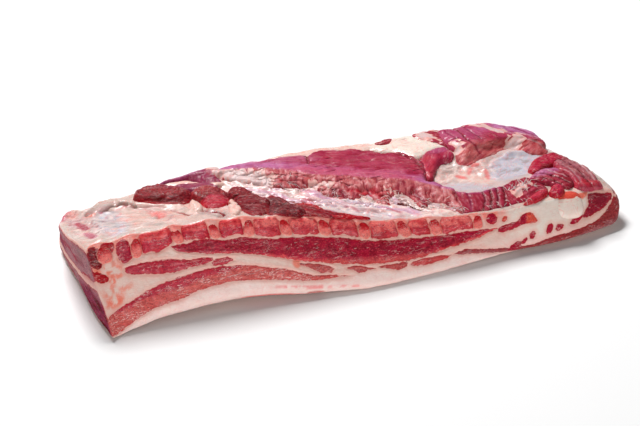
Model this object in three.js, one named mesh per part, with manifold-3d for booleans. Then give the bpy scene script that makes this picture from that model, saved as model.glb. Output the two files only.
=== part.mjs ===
// A raw slab of bone-in pork belly, lying rind down as it comes from the cutting table.
// +X runs along the slab from its thick rib end to its thin end, -Y is the long sawn face
// that shows the cut ribs, and +Z is up. Lengths are in millimetres.
//
// Every solid is laid out in the slab's own grid: u runs along the slab (0 to 1), v runs from
// the sawn face to the far edge, and w runs from the underside to the top.
import * as THREE from "three";
import { mergeVertices } from "three/addons/utils/BufferGeometryUtils.js";
import Module from "manifold-3d";

// ---- driving dimensions -------------------------------------------------------------------

const SLAB_LENGTH = 520; // between the middles of the two short ends
const THICKEST = 76; // at the rib end of the sawn face
const GAP = 0.3; // between touching solids
const STEPS_ALONG = 24;
const STEPS_ACROSS = 5;

// Outline of the sawn face in plan: its foot and its crest, at even steps along the slab.
const FOOT_Y = [-88, -83, -83, -91, -97, -92, -87, -88, -78];
const CREST_Y = [-46, -46, -48, -52, -60, -67, -68, -64, -46];
const FAR_Y = [76, 84, 87, 88, 88, 88, 87, 84, 68];
const FAR_BULGE = { depth: 9, from: 0.12, span: 0.76 }; // the stretch of a sine arch it follows
const SAW_LEAN = 1.1; // above 1, the sawn face is steeper at its foot
const UNDERCUT = { depth: 5, height: 0.14, start: 0.1 };
const CORNER_TIP = { reach: 6, length: 0.035 }; // the rib end's foot runs out to a point

// How far each short end stands from half the slab's length, from the sawn face to the far edge.
const LEFT_FOOT = [7, 1, 0, -3, -5];
const LEFT_CREST = [-2, -6, -8, -7, 5];
const RIGHT_FOOT = [-4, -2, -9, -17, -29];
const RIGHT_CREST = [4, -2, -11, -20, -27];
const RIGHT_BULGE = 4;

// Height of the top as a share of the thickest point, at even steps along the slab,
// one row for each distance v from the sawn face.
const TOP_ROWS = [
  { v: 0, share: [0.93, 1, 0.99, 0.87, 0.7, 0.62, 0.54, 0.54, 0.39] },
  { v: 0.2, share: [0.86, 0.88, 0.86, 0.79, 0.68, 0.62, 0.57, 0.55, 0.45] },
  { v: 0.45, share: [0.71, 0.72, 0.71, 0.71, 0.67, 0.64, 0.61, 0.54, 0.43] },
  { v: 0.75, share: [0.57, 0.61, 0.63, 0.68, 0.67, 0.64, 0.62, 0.55, 0.41] },
  { v: 1, share: [0.43, 0.5, 0.55, 0.61, 0.61, 0.57, 0.57, 0.54, 0.36] },
];

// The edges curl off the table: how high, and over what share of the slab.
const FRONT_LIFT = [0, 6, 8, 3, 0, 0, 2, 4, 5];
const FRONT_CURL = 0.16;
const FAR_LIFT = 12;
const FAR_CURL = 0.14;
const RIGHT_LIFT = 9;
const RIGHT_CURL = 0.08;
const LEFT_LIFT = 3;
const LEFT_CURL = 0.04;

// The bands of fat and lean from the rind up. Each has the height of its upper face as a share
// of the slab's height, at even steps along the sawn face and, deeper in, along the slab.
const LAYERS = [
  {
    name: "rind_fat",
    material: "fat",
    sawn: [0.03, 0.15, 0.19, 0.22, 0.26, 0.23, 0.21, 0.23, 0.2, 0.17, 0.17, 0.16, 0.06, 0.03, 0.04, 0.04, 0.04],
    deep: [0.04, 0.2, 0.25, 0.22, 0.06],
  },
  {
    name: "outer_lean",
    material: "lean",
    sawn: [0.22, 0.4, 0.45, 0.45, 0.44, 0.38, 0.27, 0.25, 0.22, 0.19, 0.19, 0.18, 0.08, 0.04, 0.06, 0.06, 0.06],
    deep: [0.3, 0.4, 0.42, 0.4, 0.1],
  },
  {
    name: "seam_fat_low",
    material: "fat",
    sawn: [0.4, 0.61, 0.54, 0.53, 0.48, 0.43, 0.33, 0.32, 0.3, 0.24, 0.26, 0.25, 0.11, 0.06, 0.08, 0.08, 0.08],
    deep: [0.36, 0.48, 0.5, 0.46, 0.14],
  },
  {
    name: "mid_lean",
    material: "lean",
    sawn: [0.62, 0.71, 0.67, 0.6, 0.51, 0.46, 0.4, 0.36, 0.35, 0.33, 0.35, 0.34, 0.19, 0.15, 0.27, 0.4, 0.68],
    deep: [0.6, 0.6, 0.62, 0.6, 0.55],
  },
  {
    name: "seam_fat_high",
    material: "fat",
    sawn: [0.65, 0.74, 0.74, 0.63, 0.57, 0.51, 0.44, 0.39, 0.38, 0.36, 0.43, 0.52, 0.66, 0.68, 0.7, 0.72, 0.76],
    deep: [0.62, 0.68, 0.7, 0.68, 0.62],
  },
  {
    name: "inner_lean",
    material: "lean",
    sawn: [0.86, 0.77, 0.77, 0.78, 0.76, 0.73, 0.75, 0.75, 0.7, 0.7, 0.67, 0.64, 0.7, 0.72, 0.74, 0.77, 0.82],
    deep: [0.88, 0.86, 0.85, 0.85, 0.8],
  },
  { name: "rib_band", material: "lean", sawn: [0.965], deep: [0.955] },
  { name: "lining", material: "membrane", sawn: [1], deep: [1] },
];
const DEEP_FROM = 0.35; // how far in from the sawn face the deep shares hold
const THINNEST = 0.022; // share of the height that a band keeps where it dies out

// The cut ribs: places along the sawn face, and how far the bone runs in from it.
const RIB_U = [0.029, 0.083, 0.155, 0.219, 0.28, 0.344, 0.413, 0.483, 0.554, 0.613, 0.695];
const RIB_HALF_WIDTH = 6.2;
const RIB_FILL = 0.36; // half height of a rib as a share of its band
const RIB_REACH = 0.62;
const RIB_TAPER = { loss: 0.75, thinnest: 0.2, power: 6 }; // it keeps its width until near its inner end
const RIB_STEPS = 5;
const RIB_SIDES = 10;
const TUNNEL_MOUTH = -0.03; // the cutter for a rib's tunnel starts in front of the sawn face

// Pieces of muscle and cartilage on top: outline in plan and rise above the lining.
const SEAT = 1; // the clearance that keeps a piece off the facets below it
const EDGE = 0.9; // thickness of a piece at its rim
const RINGS = [0.45, 0.8, 1];
const SEAT_PASSES = 12; // rounds taken to find a point of the top from its place in plan
const TOP_PIECES = [
  {
    name: "membrane_fold",
    material: "membrane",
    rise: 4,
    outline: [[-238, 50], [-228, 66], [-214, 73], [-204, 60], [-196, 34], [-210, 24], [-226, 34]],
  },
  {
    name: "skirt_1",
    material: "darkLean",
    rise: 8,
    outline: [[-188, 50], [-183, 70], [-164, 71], [-150, 50], [-151, 22], [-177, 27]],
  },
  {
    name: "skirt_2",
    material: "darkLean",
    rise: 7,
    outline: [[-142, 30], [-130, 44], [-118, 33], [-118, 5], [-130, -9], [-142, 0]],
  },
  {
    name: "skirt_3",
    material: "darkLean",
    rise: 7,
    outline: [[-109, 18], [-99, 27], [-90, 5], [-90, -25], [-98, -43], [-110, -43], [-113, -16]],
  },
  {
    name: "skirt_4",
    material: "darkLean",
    rise: 6,
    outline: [[-81, -12], [-73, -3], [-67, -20], [-67, -40], [-76, -46], [-84, -42]],
  },
  {
    name: "skirt_5",
    material: "darkLean",
    rise: 4,
    outline: [[-56, -26], [-48, -24], [-38, -42], [-37, -50], [-49, -50], [-58, -42]],
  },
  {
    name: "tail_muscle",
    material: "purpleLean",
    rise: 7,
    outline: [[-151, 73], [-122, 80], [-108, 82], [-101, 70], [-104, 55], [-128, 62]],
  },
  {
    name: "flank_sheet",
    material: "purpleLean",
    rise: 7,
    outline: [
      [-90, 66], [-63, 70], [-10, 76], [20, 72], [46, 61], [66, 46], [77, 32], [79, 8],
      [76, -20], [74, -46], [48, -38], [18, -32], [-20, -14], [-52, 10], [-66, 34], [-82, 50],
    ],
  },
  {
    name: "flank_band",
    material: "darkLean",
    rise: 5,
    outline: [[86, -20], [103, -34], [130, -35], [160, -31], [173, -30], [172, -48], [158, -54], [120, -57], [88, -53]],
  },
  {
    name: "curled_muscle",
    material: "purpleLean",
    rise: 7,
    outline: [[88, 10], [97, 28], [112, 40], [118, 31], [114, 17], [100, 6], [91, 0]],
  },
  {
    name: "shoulder_muscle",
    material: "purpleLean",
    rise: 9,
    outline: [[129, 72], [166, 80], [204, 80], [222, 72], [226, 54], [222, 36], [210, 26], [184, 35], [160, 25], [131, 18], [127, 45]],
  },
  {
    name: "end_red",
    material: "darkLean",
    rise: 6,
    outline: [[188, -9], [198, 3], [212, 12], [226, 13], [224, 3], [210, -5], [198, -9]],
  },
  {
    name: "end_purple",
    material: "purpleLean",
    rise: 7,
    outline: [[181, -32], [194, -21], [206, -17], [213, -26], [212, -40], [203, -45], [185, -44]],
  },
  {
    name: "end_brown",
    material: "purpleLean",
    rise: 6,
    outline: [[226, -4], [232, -4], [237, -22], [240, -42], [235, -50], [222, -50], [220, -36], [219, -16]],
  },
  {
    name: "cartilage_knob",
    material: "cartilage",
    rise: 9,
    outline: [[192, -56], [198, -50], [208, -50], [213, -55], [207, -60], [198, -60]],
  },
  {
    name: "red_nub",
    material: "darkLean",
    rise: 6,
    outline: [[180, -54], [182, -49], [187, -49], [187, -55]],
  },
];

const MATERIALS = {
  fat: new THREE.MeshStandardMaterial({ color: 0xe9d3c4, roughness: 0.42, metalness: 0 }),
  lean: new THREE.MeshStandardMaterial({ color: 0xa8504e, roughness: 0.38, metalness: 0 }),
  darkLean: new THREE.MeshStandardMaterial({ color: 0x7c2c33, roughness: 0.34, metalness: 0 }),
  purpleLean: new THREE.MeshStandardMaterial({ color: 0x8c5a66, roughness: 0.36, metalness: 0 }),
  membrane: new THREE.MeshStandardMaterial({ color: 0xd9bfc0, roughness: 0.28, metalness: 0 }),
  bone: new THREE.MeshStandardMaterial({ color: 0xc98a72, roughness: 0.5, metalness: 0 }),
  cartilage: new THREE.MeshStandardMaterial({ color: 0xdcc9be, roughness: 0.35, metalness: 0 }),
};

// ---- the slab's grid ----------------------------------------------------------------------

// A smooth curve through evenly spaced values, at t from 0 to 1.
function along(values, t) {
  if (values.length === 1) {
    return values[0];
  }
  const last = values.length - 1;
  const at = THREE.MathUtils.clamp(t, 0, 1) * last;
  const i = Math.min(Math.floor(at), last - 1);
  const f = at - i;
  const here = values[i];
  const next = values[i + 1];
  const before = i === 0 ? 2 * here - next : values[i - 1];
  const after = i === last - 1 ? 2 * next - here : values[i + 2];
  const cubic = -before + 3 * here - 3 * next + after;
  const square = 2 * before - 5 * here + 4 * next - after;
  return 0.5 * (2 * here + (next - before) * f + square * f * f + cubic * f * f * f);
}

// The top's height, smooth in both directions.
function topHeight(u, v) {
  const rows = TOP_ROWS.map((row) => THICKEST * along(row.share, u));
  const at = THREE.MathUtils.clamp(v, 0, 1);
  const k = Math.min(TOP_ROWS.findLastIndex((row) => row.v <= at), TOP_ROWS.length - 2);
  const slope = (a, b) => (rows[b] - rows[a]) / (TOP_ROWS[b].v - TOP_ROWS[a].v);
  const span = TOP_ROWS[k + 1].v - TOP_ROWS[k].v;
  const t = (at - TOP_ROWS[k].v) / span;
  const leave = span * slope(Math.max(k - 1, 0), k + 1);
  const arrive = span * slope(k, Math.min(k + 2, TOP_ROWS.length - 1));
  const ease = t * t * (3 - 2 * t);
  const bend = leave * t * (1 - t) * (1 - t) - arrive * t * t * (1 - t);
  return rows[k] + (rows[k + 1] - rows[k]) * ease + bend;
}

// 1 at the edge, easing to 0 at the end of its share.
function curl(distance, share) {
  return Math.max(0, 1 - distance / share) ** 2;
}

function undersideHeight(u, v) {
  return Math.max(
    along(FRONT_LIFT, u) * curl(v, FRONT_CURL),
    FAR_LIFT * curl(1 - v, FAR_CURL),
    RIGHT_LIFT * curl(1 - u, RIGHT_CURL),
    LEFT_LIFT * curl(u, LEFT_CURL),
  );
}

function sawnFaceY(u, w) {
  const foot = along(FOOT_Y, u) - CORNER_TIP.reach * curl(u, CORNER_TIP.length);
  const lean = Math.max(w, 0) ** SAW_LEAN;
  const undercut = UNDERCUT.depth * curl(w, UNDERCUT.height) * Math.min(1, u / UNDERCUT.start);
  return foot + (along(CREST_Y, u) - foot) * lean + undercut;
}

function farFaceY(u, w) {
  return along(FAR_Y, u) + FAR_BULGE.depth * Math.sin(Math.PI * (FAR_BULGE.from + FAR_BULGE.span * w));
}

function leftEndX(v, w) {
  return -SLAB_LENGTH / 2 + THREE.MathUtils.lerp(along(LEFT_FOOT, v), along(LEFT_CREST, v), w);
}

function rightEndX(v, w) {
  const offset = THREE.MathUtils.lerp(along(RIGHT_FOOT, v), along(RIGHT_CREST, v), w);
  return SLAB_LENGTH / 2 + offset + RIGHT_BULGE * Math.sin(Math.PI * w);
}

function place(u, v, w) {
  const x = THREE.MathUtils.lerp(leftEndX(v, w), rightEndX(v, w), u);
  const y = THREE.MathUtils.lerp(sawnFaceY(u, w), farFaceY(u, w), v);
  const z = THREE.MathUtils.lerp(undersideHeight(u, v), topHeight(u, v), w);
  return new THREE.Vector3(x, y, z);
}

// The height of the top at a point in plan, found by closing in on its u and v.
function topHeightAt(x, y) {
  let u = 0.5;
  let v = 0.5;
  for (let pass = 0; pass < SEAT_PASSES; pass += 1) {
    u = (x - leftEndX(v, 1)) / (rightEndX(v, 1) - leftEndX(v, 1));
    v = (y - sawnFaceY(u, 1)) / (farFaceY(u, 1) - sawnFaceY(u, 1));
  }
  return topHeight(u, v);
}

// Upper face of a band, as a share of the slab's height. Bands that die out keep a thin film.
function layerTop(index, u, v) {
  const blend = THREE.MathUtils.smoothstep(v, 0, DEEP_FROM);
  let share = 0;
  for (let k = 0; k <= index; k += 1) {
    const own = THREE.MathUtils.lerp(along(LAYERS[k].sawn, u), along(LAYERS[k].deep, u), blend);
    const highest = 1 - THINNEST * (LAYERS.length - 1 - k);
    share = Math.min(Math.max(own, share + THINNEST), highest);
  }
  return share;
}

// ---- solids -------------------------------------------------------------------------------

function geometryFrom(points, triangles) {
  const geometry = new THREE.BufferGeometry();
  geometry.setAttribute("position", new THREE.Float32BufferAttribute(points.flatMap((p) => p.toArray()), 3));
  geometry.setIndex(triangles.flat());
  return geometry;
}

// A closed body between two sheets of the same grid, lower(i, j) and upper(i, j).
function slabBetween(lower, upper, columns, rows) {
  const points = [];
  const triangles = [];
  for (const sheet of [lower, upper]) {
    for (let j = 0; j <= rows; j += 1) {
      for (let i = 0; i <= columns; i += 1) {
        points.push(sheet(i / columns, j / rows));
      }
    }
  }
  const above = (columns + 1) * (rows + 1);
  const index = (i, j) => j * (columns + 1) + i;
  for (let j = 0; j < rows; j += 1) {
    for (let i = 0; i < columns; i += 1) {
      const [a, b, c, d] = [index(i, j), index(i + 1, j), index(i + 1, j + 1), index(i, j + 1)];
      triangles.push([a, c, b], [a, d, c]);
      triangles.push([a + above, b + above, c + above], [a + above, c + above, d + above]);
    }
  }
  const rim = [];
  for (let i = 0; i < columns; i += 1) rim.push(index(i, 0));
  for (let j = 0; j < rows; j += 1) rim.push(index(columns, j));
  for (let i = columns; i > 0; i -= 1) rim.push(index(i, rows));
  for (let j = rows; j > 0; j -= 1) rim.push(index(0, j));
  rim.forEach((a, k) => {
    const b = rim[(k + 1) % rim.length];
    triangles.push([a, b, b + above], [a, b + above, a + above]);
  });
  return geometryFrom(points, triangles);
}

function layerGeometry(index) {
  const raise = new THREE.Vector3(0, 0, index === 0 ? 0 : GAP / 2);
  const drop = new THREE.Vector3(0, 0, index === LAYERS.length - 1 ? 0 : GAP / 2);
  const floor = (u, v) => (index === 0 ? 0 : layerTop(index - 1, u, v));
  return slabBetween(
    (u, v) => place(u, v, floor(u, v)).add(raise),
    (u, v) => place(u, v, layerTop(index, u, v)).sub(drop),
    STEPS_ALONG,
    STEPS_ACROSS,
  );
}

// A rib inside its band, rounding off at its inner end. The cutter for its tunnel is the same
// shape grown all round by the gap, with a mouth in front of the sawn face.
function ribGeometry(u, isCutter) {
  const band = LAYERS.findIndex((layer) => layer.name === "rib_band");
  const grow = isCutter ? GAP : 0;
  const points = [];
  const triangles = [];
  const stations = Array.from({ length: RIB_STEPS + 1 }, (_, step) => (RIB_REACH * step) / RIB_STEPS);
  if (isCutter) {
    stations.unshift(TUNNEL_MOUTH);
    stations[stations.length - 1] += GAP / SLAB_LENGTH;
  }
  for (const v of stations) {
    const t = Math.max(0, v / RIB_REACH);
    const low = layerTop(band - 1, u, v);
    const high = layerTop(band, u, v);
    const height = topHeight(u, v) - undersideHeight(u, v);
    const taper = Math.sqrt(Math.max(RIB_TAPER.thinnest, 1 - RIB_TAPER.loss * t ** RIB_TAPER.power));
    const halfWidth = (RIB_HALF_WIDTH * taper + grow) / SLAB_LENGTH;
    const halfHeight = (high - low) * RIB_FILL * taper + grow / height;
    for (let k = 0; k < RIB_SIDES; k += 1) {
      const angle = (2 * Math.PI * k) / RIB_SIDES;
      const side = u + halfWidth * Math.cos(angle);
      points.push(place(side, v, (low + high) / 2 + halfHeight * Math.sin(angle)));
    }
  }
  const end = (stations.length - 1) * RIB_SIDES;
  for (let k = 0; k < RIB_SIDES; k += 1) {
    const next = (k + 1) % RIB_SIDES;
    for (let row = 0; row < end; row += RIB_SIDES) {
      triangles.push([row + k, row + k + RIB_SIDES, row + next], [row + next, row + k + RIB_SIDES, row + next + RIB_SIDES]);
    }
    if (k > 0 && k < RIB_SIDES - 1) {
      triangles.push([0, k, k + 1], [end, end + k + 1, end + k]);
    }
  }
  return geometryFrom(points, triangles);
}

// A piece on top: rings of one outline, domed above and seated on the lining below.
function topPieceGeometry({ outline, rise }) {
  const corners = outline.map(([x, y]) => new THREE.Vector3(x, y, 0));
  const rim = new THREE.CatmullRomCurve3(corners, true).getPoints(outline.length * 2).slice(0, -1);
  if (THREE.ShapeUtils.isClockWise(rim)) {
    rim.reverse();
  }
  const centre = rim.reduce((sum, p) => sum.add(p), new THREE.Vector3()).divideScalar(rim.length);
  const points = [];
  for (const side of ["below", "above"]) {
    for (const ring of [0, ...RINGS]) {
      const dome = side === "above" ? EDGE + (rise - EDGE) * Math.sqrt(1 - ring ** 3) : 0;
      const edge = ring === 0 ? [centre] : rim.map((p) => centre.clone().lerp(p, ring));
      edge.forEach(({ x, y }) => points.push(new THREE.Vector3(x, y, topHeightAt(x, y) + SEAT + dome)));
    }
  }
  const turns = rim.length;
  const above = 1 + RINGS.length * turns;
  const triangles = [];
  for (let k = 0; k < turns; k += 1) {
    const next = (k + 1) % turns;
    triangles.push([0, 1 + next, 1 + k], [above, above + 1 + k, above + 1 + next]);
    for (let ring = 0; ring < RINGS.length - 1; ring += 1) {
      const [a, b] = [1 + ring * turns + k, 1 + ring * turns + next];
      triangles.push([a, b, b + turns], [a, b + turns, a + turns]);
      triangles.push([above + a, above + b + turns, above + b], [above + a, above + a + turns, above + b + turns]);
    }
    const [a, b] = [1 + (RINGS.length - 1) * turns + k, 1 + (RINGS.length - 1) * turns + next];
    triangles.push([a, b, above + b], [a, above + b, above + a]);
  }
  return geometryFrom(points, triangles);
}

// ---- cutting the ribs' tunnels ------------------------------------------------------------

const wasm = await Module();
wasm.setup();

function toManifold(geometry) {
  const merged = mergeVertices(geometry);
  const vertProperties = new Float32Array(merged.attributes.position.array);
  const triVerts = new Uint32Array(merged.index.array);
  return new wasm.Manifold(new wasm.Mesh({ numProp: 3, vertProperties, triVerts }));
}

function toGeometry(solid) {
  const mesh = solid.getMesh();
  const geometry = new THREE.BufferGeometry();
  geometry.setAttribute("position", new THREE.BufferAttribute(mesh.vertProperties, 3));
  geometry.setIndex(new THREE.BufferAttribute(mesh.triVerts, 1));
  return geometry;
}

function tunnelled(bandGeometry) {
  const cut = (solid, u) => solid.subtract(toManifold(ribGeometry(u, true)));
  return toGeometry(RIB_U.reduce(cut, toManifold(bandGeometry)));
}

// ---- assembly -----------------------------------------------------------------------------

const slab = new THREE.Group();

function addPiece(name, material, geometry) {
  const mesh = new THREE.Mesh(geometry, MATERIALS[material]);
  mesh.name = name;
  slab.add(mesh);
}

LAYERS.forEach(({ name, material }, index) => {
  const solid = layerGeometry(index);
  addPiece(name, material, name === "rib_band" ? tunnelled(solid) : solid);
});

RIB_U.forEach((u, index) => {
  addPiece(`rib_${String(index + 1).padStart(2, "0")}`, "bone", ribGeometry(u, false));
});

TOP_PIECES.forEach((piece) => {
  addPiece(piece.name, piece.material, topPieceGeometry(piece));
});

// The origin lies under the middle of the slab's box.
const middle = new THREE.Box3().setFromObject(slab).getCenter(new THREE.Vector3());
slab.position.set(-middle.x, -middle.y, 0);

export default slab;
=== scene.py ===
import bpy
import numpy as np
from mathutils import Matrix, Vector


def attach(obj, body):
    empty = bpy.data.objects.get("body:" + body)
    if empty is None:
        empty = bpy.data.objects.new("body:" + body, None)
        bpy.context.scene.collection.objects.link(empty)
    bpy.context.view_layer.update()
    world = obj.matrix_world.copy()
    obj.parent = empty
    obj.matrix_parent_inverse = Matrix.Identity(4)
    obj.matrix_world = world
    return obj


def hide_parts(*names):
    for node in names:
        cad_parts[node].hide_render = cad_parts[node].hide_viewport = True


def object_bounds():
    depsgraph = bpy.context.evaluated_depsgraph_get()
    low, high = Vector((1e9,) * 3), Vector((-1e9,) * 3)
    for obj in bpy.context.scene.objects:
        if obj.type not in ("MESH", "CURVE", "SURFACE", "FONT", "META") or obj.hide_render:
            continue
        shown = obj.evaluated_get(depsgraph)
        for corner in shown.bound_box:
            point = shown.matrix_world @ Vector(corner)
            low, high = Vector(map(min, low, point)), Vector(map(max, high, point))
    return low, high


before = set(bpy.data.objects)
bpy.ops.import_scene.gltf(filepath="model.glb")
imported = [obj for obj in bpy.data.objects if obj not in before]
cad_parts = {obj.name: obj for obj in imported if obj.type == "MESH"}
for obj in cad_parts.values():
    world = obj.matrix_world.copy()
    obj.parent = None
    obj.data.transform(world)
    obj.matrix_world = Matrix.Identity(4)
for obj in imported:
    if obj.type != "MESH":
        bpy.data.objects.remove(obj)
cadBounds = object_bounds()
mm = 0.001

# the slab's own sizes in millimetres, the same as the solids have
slab = {
    "length": 520, "width": 160, "thickest": 76,
    "footY": [-88, -83, -83, -91, -97, -92, -87, -88, -78],
    "crestY": [-46, -46, -48, -52, -60, -67, -68, -64, -46],
    "farY": [76, 84, 87, 88, 88, 88, 87, 84, 68],
    "farBulge": 9, "bulgeFrom": 0.12, "bulgeSpan": 0.76, "sawLean": 1.1,
    "undercutDepth": 5, "undercutHeight": 0.14, "undercutStart": 0.1,
    "tipReach": 6, "tipLength": 0.035,
    "leftFoot": [7, 1, 0, -3, -5], "leftCrest": [-2, -6, -8, -7, 5],
    "rightFoot": [-4, -2, -9, -17, -29], "rightCrest": [4, -2, -11, -20, -27],
    "rightBulge": 4,
    "rowV": [0, 0.2, 0.45, 0.75, 1],
    "rowShare": [
        [0.93, 1, 0.99, 0.87, 0.7, 0.62, 0.54, 0.54, 0.39],
        [0.86, 0.88, 0.86, 0.79, 0.68, 0.62, 0.57, 0.55, 0.45],
        [0.71, 0.72, 0.71, 0.71, 0.67, 0.64, 0.61, 0.54, 0.43],
        [0.57, 0.61, 0.63, 0.68, 0.67, 0.64, 0.62, 0.55, 0.41],
        [0.43, 0.5, 0.55, 0.61, 0.61, 0.57, 0.57, 0.54, 0.36],
    ],
    "frontLift": [0, 6, 8, 3, 0, 0, 2, 4, 5], "frontCurl": 0.16,
    "farLift": 12, "farCurl": 0.14, "rightLift": 9, "rightCurl": 0.08,
    "leftLift": 3, "leftCurl": 0.04,
}

# how round the edge between two faces is, in millimetres
edges = {
    ("front", "up"): 2.2, ("far", "up"): 8, ("left", "up"): 5, ("right", "up"): 12,
    ("front", "down"): 2.5, ("far", "down"): 7, ("left", "down"): 4, ("right", "down"): 9,
    ("left", "front"): 2.5, ("right", "front"): 12, ("left", "far"): 14, ("right", "far"): 16,
}

# upper face of each band, as a share of the height, along the sawn face and deeper in
layers = [
    {"piece": "rindFat", "node": "rind_fat", "slot": "fat", "rows": 12,
     "sawn": [.03, .15, .19, .22, .26, .23, .21, .23, .2, .17, .17, .16, .06, .03, .04, .04, .04],
     "deep": [.04, .2, .25, .22, .06]},
    {"piece": "outerLean", "node": "outer_lean", "slot": "lean", "rows": 13,
     "sawn": [.22, .4, .45, .45, .44, .38, .27, .25, .22, .19, .19, .18, .08, .04, .06, .06, .06],
     "deep": [.3, .4, .42, .4, .1]},
    {"piece": "lowerSeamFat", "node": "seam_fat_low", "slot": "fat", "rows": 10,
     "sawn": [.4, .61, .54, .53, .48, .43, .33, .32, .3, .24, .26, .25, .11, .06, .08, .08, .08],
     "deep": [.36, .48, .5, .46, .14]},
    {"piece": "midLean", "node": "mid_lean", "slot": "lean", "rows": 13,
     "sawn": [.62, .71, .67, .6, .51, .46, .4, .36, .35, .33, .35, .34, .19, .15, .27, .4, .68],
     "deep": [.6, .6, .62, .6, .55]},
    {"piece": "upperSeamFat", "node": "seam_fat_high", "slot": "fat", "rows": 14,
     "sawn": [.65, .74, .74, .63, .57, .51, .44, .39, .38, .36, .43, .52, .66, .68, .7, .72, .76],
     "deep": [.62, .68, .7, .68, .62]},
    {"piece": "innerLean", "node": "inner_lean", "slot": "lean", "rows": 16,
     "sawn": [.86, .77, .77, .78, .76, .73, .75, .75, .7, .7, .67, .64, .7, .72, .74, .77, .82],
     "deep": [.88, .86, .85, .85, .8]},
    {"piece": "ribBand", "node": "rib_band", "slot": "lean", "rows": 15,
     "sawn": [.965], "deep": [.955]},
    {"piece": "lining", "node": "lining", "slot": "membrane", "rows": 3,
     "sawn": [1], "deep": [1]},
]
deepFrom = 0.35  # how far in from the sawn face the deeper shares hold
thinnest = 0.022  # share of the height that a band keeps where it dies out
nearly = 1e-9  # keeps a division from meeting zero

grid = {"along": 440, "across": 150}  # mesh cells along and across the slab

# colours as seen, 0 to 255
# lilacSheen is a painted sheen, laid where light glances off the wet muscle
tones = {
    "crimson": (182, 8, 52), "rose": (208, 60, 72), "tan": (222, 102, 92), "salmon": (240, 84, 84),
    "orange": (240, 96, 72), "brownPink": (158, 58, 58), "plum": (160, 30, 54), "purple": (164, 26, 62),
    "lilacSheen": (198, 130, 182), "dark": (120, 0, 20), "blood": (184, 4, 22), "skirt": (124, 12, 22),
    "cream": (235, 200, 188), "butter": (240, 226, 214), "blush": (236, 172, 160), "pinkFat": (250, 220, 212),
    "membrane": (202, 180, 170), "bluish": (194, 192, 206), "fascia": (216, 190, 188),
    "grey": (156, 138, 134), "shell": (232, 136, 116), "marrow": (194, 12, 26), "rind": (222, 176, 158),
    "umber": (112, 58, 54), "mauve": (182, 134, 138), "dusty": (160, 96, 96), "violet": (138, 34, 72),
    "cell": (252, 128, 118), "fringe": (192, 98, 92), "garnet": (198, 34, 62), "wine": (90, 0, 16),
}


def clamp01(value):
    return np.clip(value, 0.0, 1.0)


def ease(value, low, high):  # 0 below low, 1 above high
    t = clamp01((value - low) / (high - low))
    return t * t * (3 - 2 * t)


def blend(a, b, share):
    return a + (b - a) * share


def asLight(shown):  # colours as seen, 0 to 1, to scene light
    return np.where(shown <= 0.04045, shown / 12.92, ((clamp01(shown) + 0.055) / 1.055) ** 2.4)


def seen(tone):
    return np.array(tones[tone], float) / 255


def linear(tone):
    return asLight(seen(tone))


def asPlan(x, y):  # points of a flat sheet
    return np.stack([x, y, 0 * x], -1)


def turned(x, y, degrees):  # how far ahead and how far aside in a direction
    turn = np.radians(degrees)
    return x * np.cos(turn) + y * np.sin(turn), y * np.cos(turn) - x * np.sin(turn)


def along(values, t):  # smooth curve through evenly spaced values
    values = np.asarray(values, float)
    if len(values) == 1:
        return np.full_like(np.asarray(t, float), values[0])
    last = len(values) - 1
    at = clamp01(t) * last
    i = np.minimum(at.astype(int), last - 1)
    f = at - i
    here, after = values[i], values[i + 1]
    before = np.where(i == 0, 2 * here - after, values[np.maximum(i - 1, 0)])
    beyond = np.where(i == last - 1, 2 * after - here, values[np.minimum(i + 2, last)])
    square = 2 * before - 5 * here + 4 * after - beyond
    cubic = -before + 3 * here - 3 * after + beyond
    return 0.5 * (2 * here + (after - before) * f + square * f ** 2 + cubic * f ** 3)


def topHeight(u, v):
    rows = [slab["thickest"] * along(share, u) for share in slab["rowShare"]]
    at = slab["rowV"]
    last = len(at) - 1
    v = clamp01(v)
    height = np.zeros(np.broadcast(u, v).shape)
    for k in range(last):
        span = at[k + 1] - at[k]
        t = (v - at[k]) / span
        lowA, lowB = (k - 1, k + 1) if k > 0 else (0, 1)
        highA, highB = (k, k + 2) if k < last - 1 else (k, k + 1)
        leave = span * (rows[lowB] - rows[lowA]) / (at[lowB] - at[lowA])
        arrive = span * (rows[highB] - rows[highA]) / (at[highB] - at[highA])
        bend = leave * t * (1 - t) ** 2 - arrive * t ** 2 * (1 - t)
        here = rows[k] + (rows[k + 1] - rows[k]) * t * t * (3 - 2 * t) + bend
        height = np.where((v >= at[k]) & (v <= at[k + 1]), here, height)
    return height


def curl(distance, share):
    return np.maximum(0, 1 - distance / share) ** 2


def undersideHeight(u, v):
    lifts = (along(slab["frontLift"], u) * curl(v, slab["frontCurl"]),
             slab["farLift"] * curl(1 - v, slab["farCurl"]),
             slab["rightLift"] * curl(1 - u, slab["rightCurl"]), slab["leftLift"] * curl(u, slab["leftCurl"]))
    return np.maximum.reduce(np.broadcast_arrays(*lifts))


def sawnFaceY(u, w):
    foot = along(slab["footY"], u) - slab["tipReach"] * curl(u, slab["tipLength"])
    undercut = slab["undercutDepth"] * curl(w, slab["undercutHeight"]) * clamp01(u / slab["undercutStart"])
    return foot + (along(slab["crestY"], u) - foot) * clamp01(w) ** slab["sawLean"] + undercut


def farFaceY(u, w):
    arch = np.sin(np.pi * (slab["bulgeFrom"] + slab["bulgeSpan"] * w))
    return along(slab["farY"], u) + slab["farBulge"] * arch


def leftEndX(v, w):
    return -slab["length"] / 2 + blend(along(slab["leftFoot"], v), along(slab["leftCrest"], v), w)


def rightEndX(v, w):
    offset = blend(along(slab["rightFoot"], v), along(slab["rightCrest"], v), w)
    return slab["length"] / 2 + offset + slab["rightBulge"] * np.sin(np.pi * w)


def place(u, v, w):
    x = blend(leftEndX(v, w), rightEndX(v, w), u)
    y = blend(sawnFaceY(u, w), farFaceY(u, w), v)
    z = blend(undersideHeight(u, v), topHeight(u, v), w)
    return np.stack(np.broadcast_arrays(x, y, z), -1)


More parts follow.
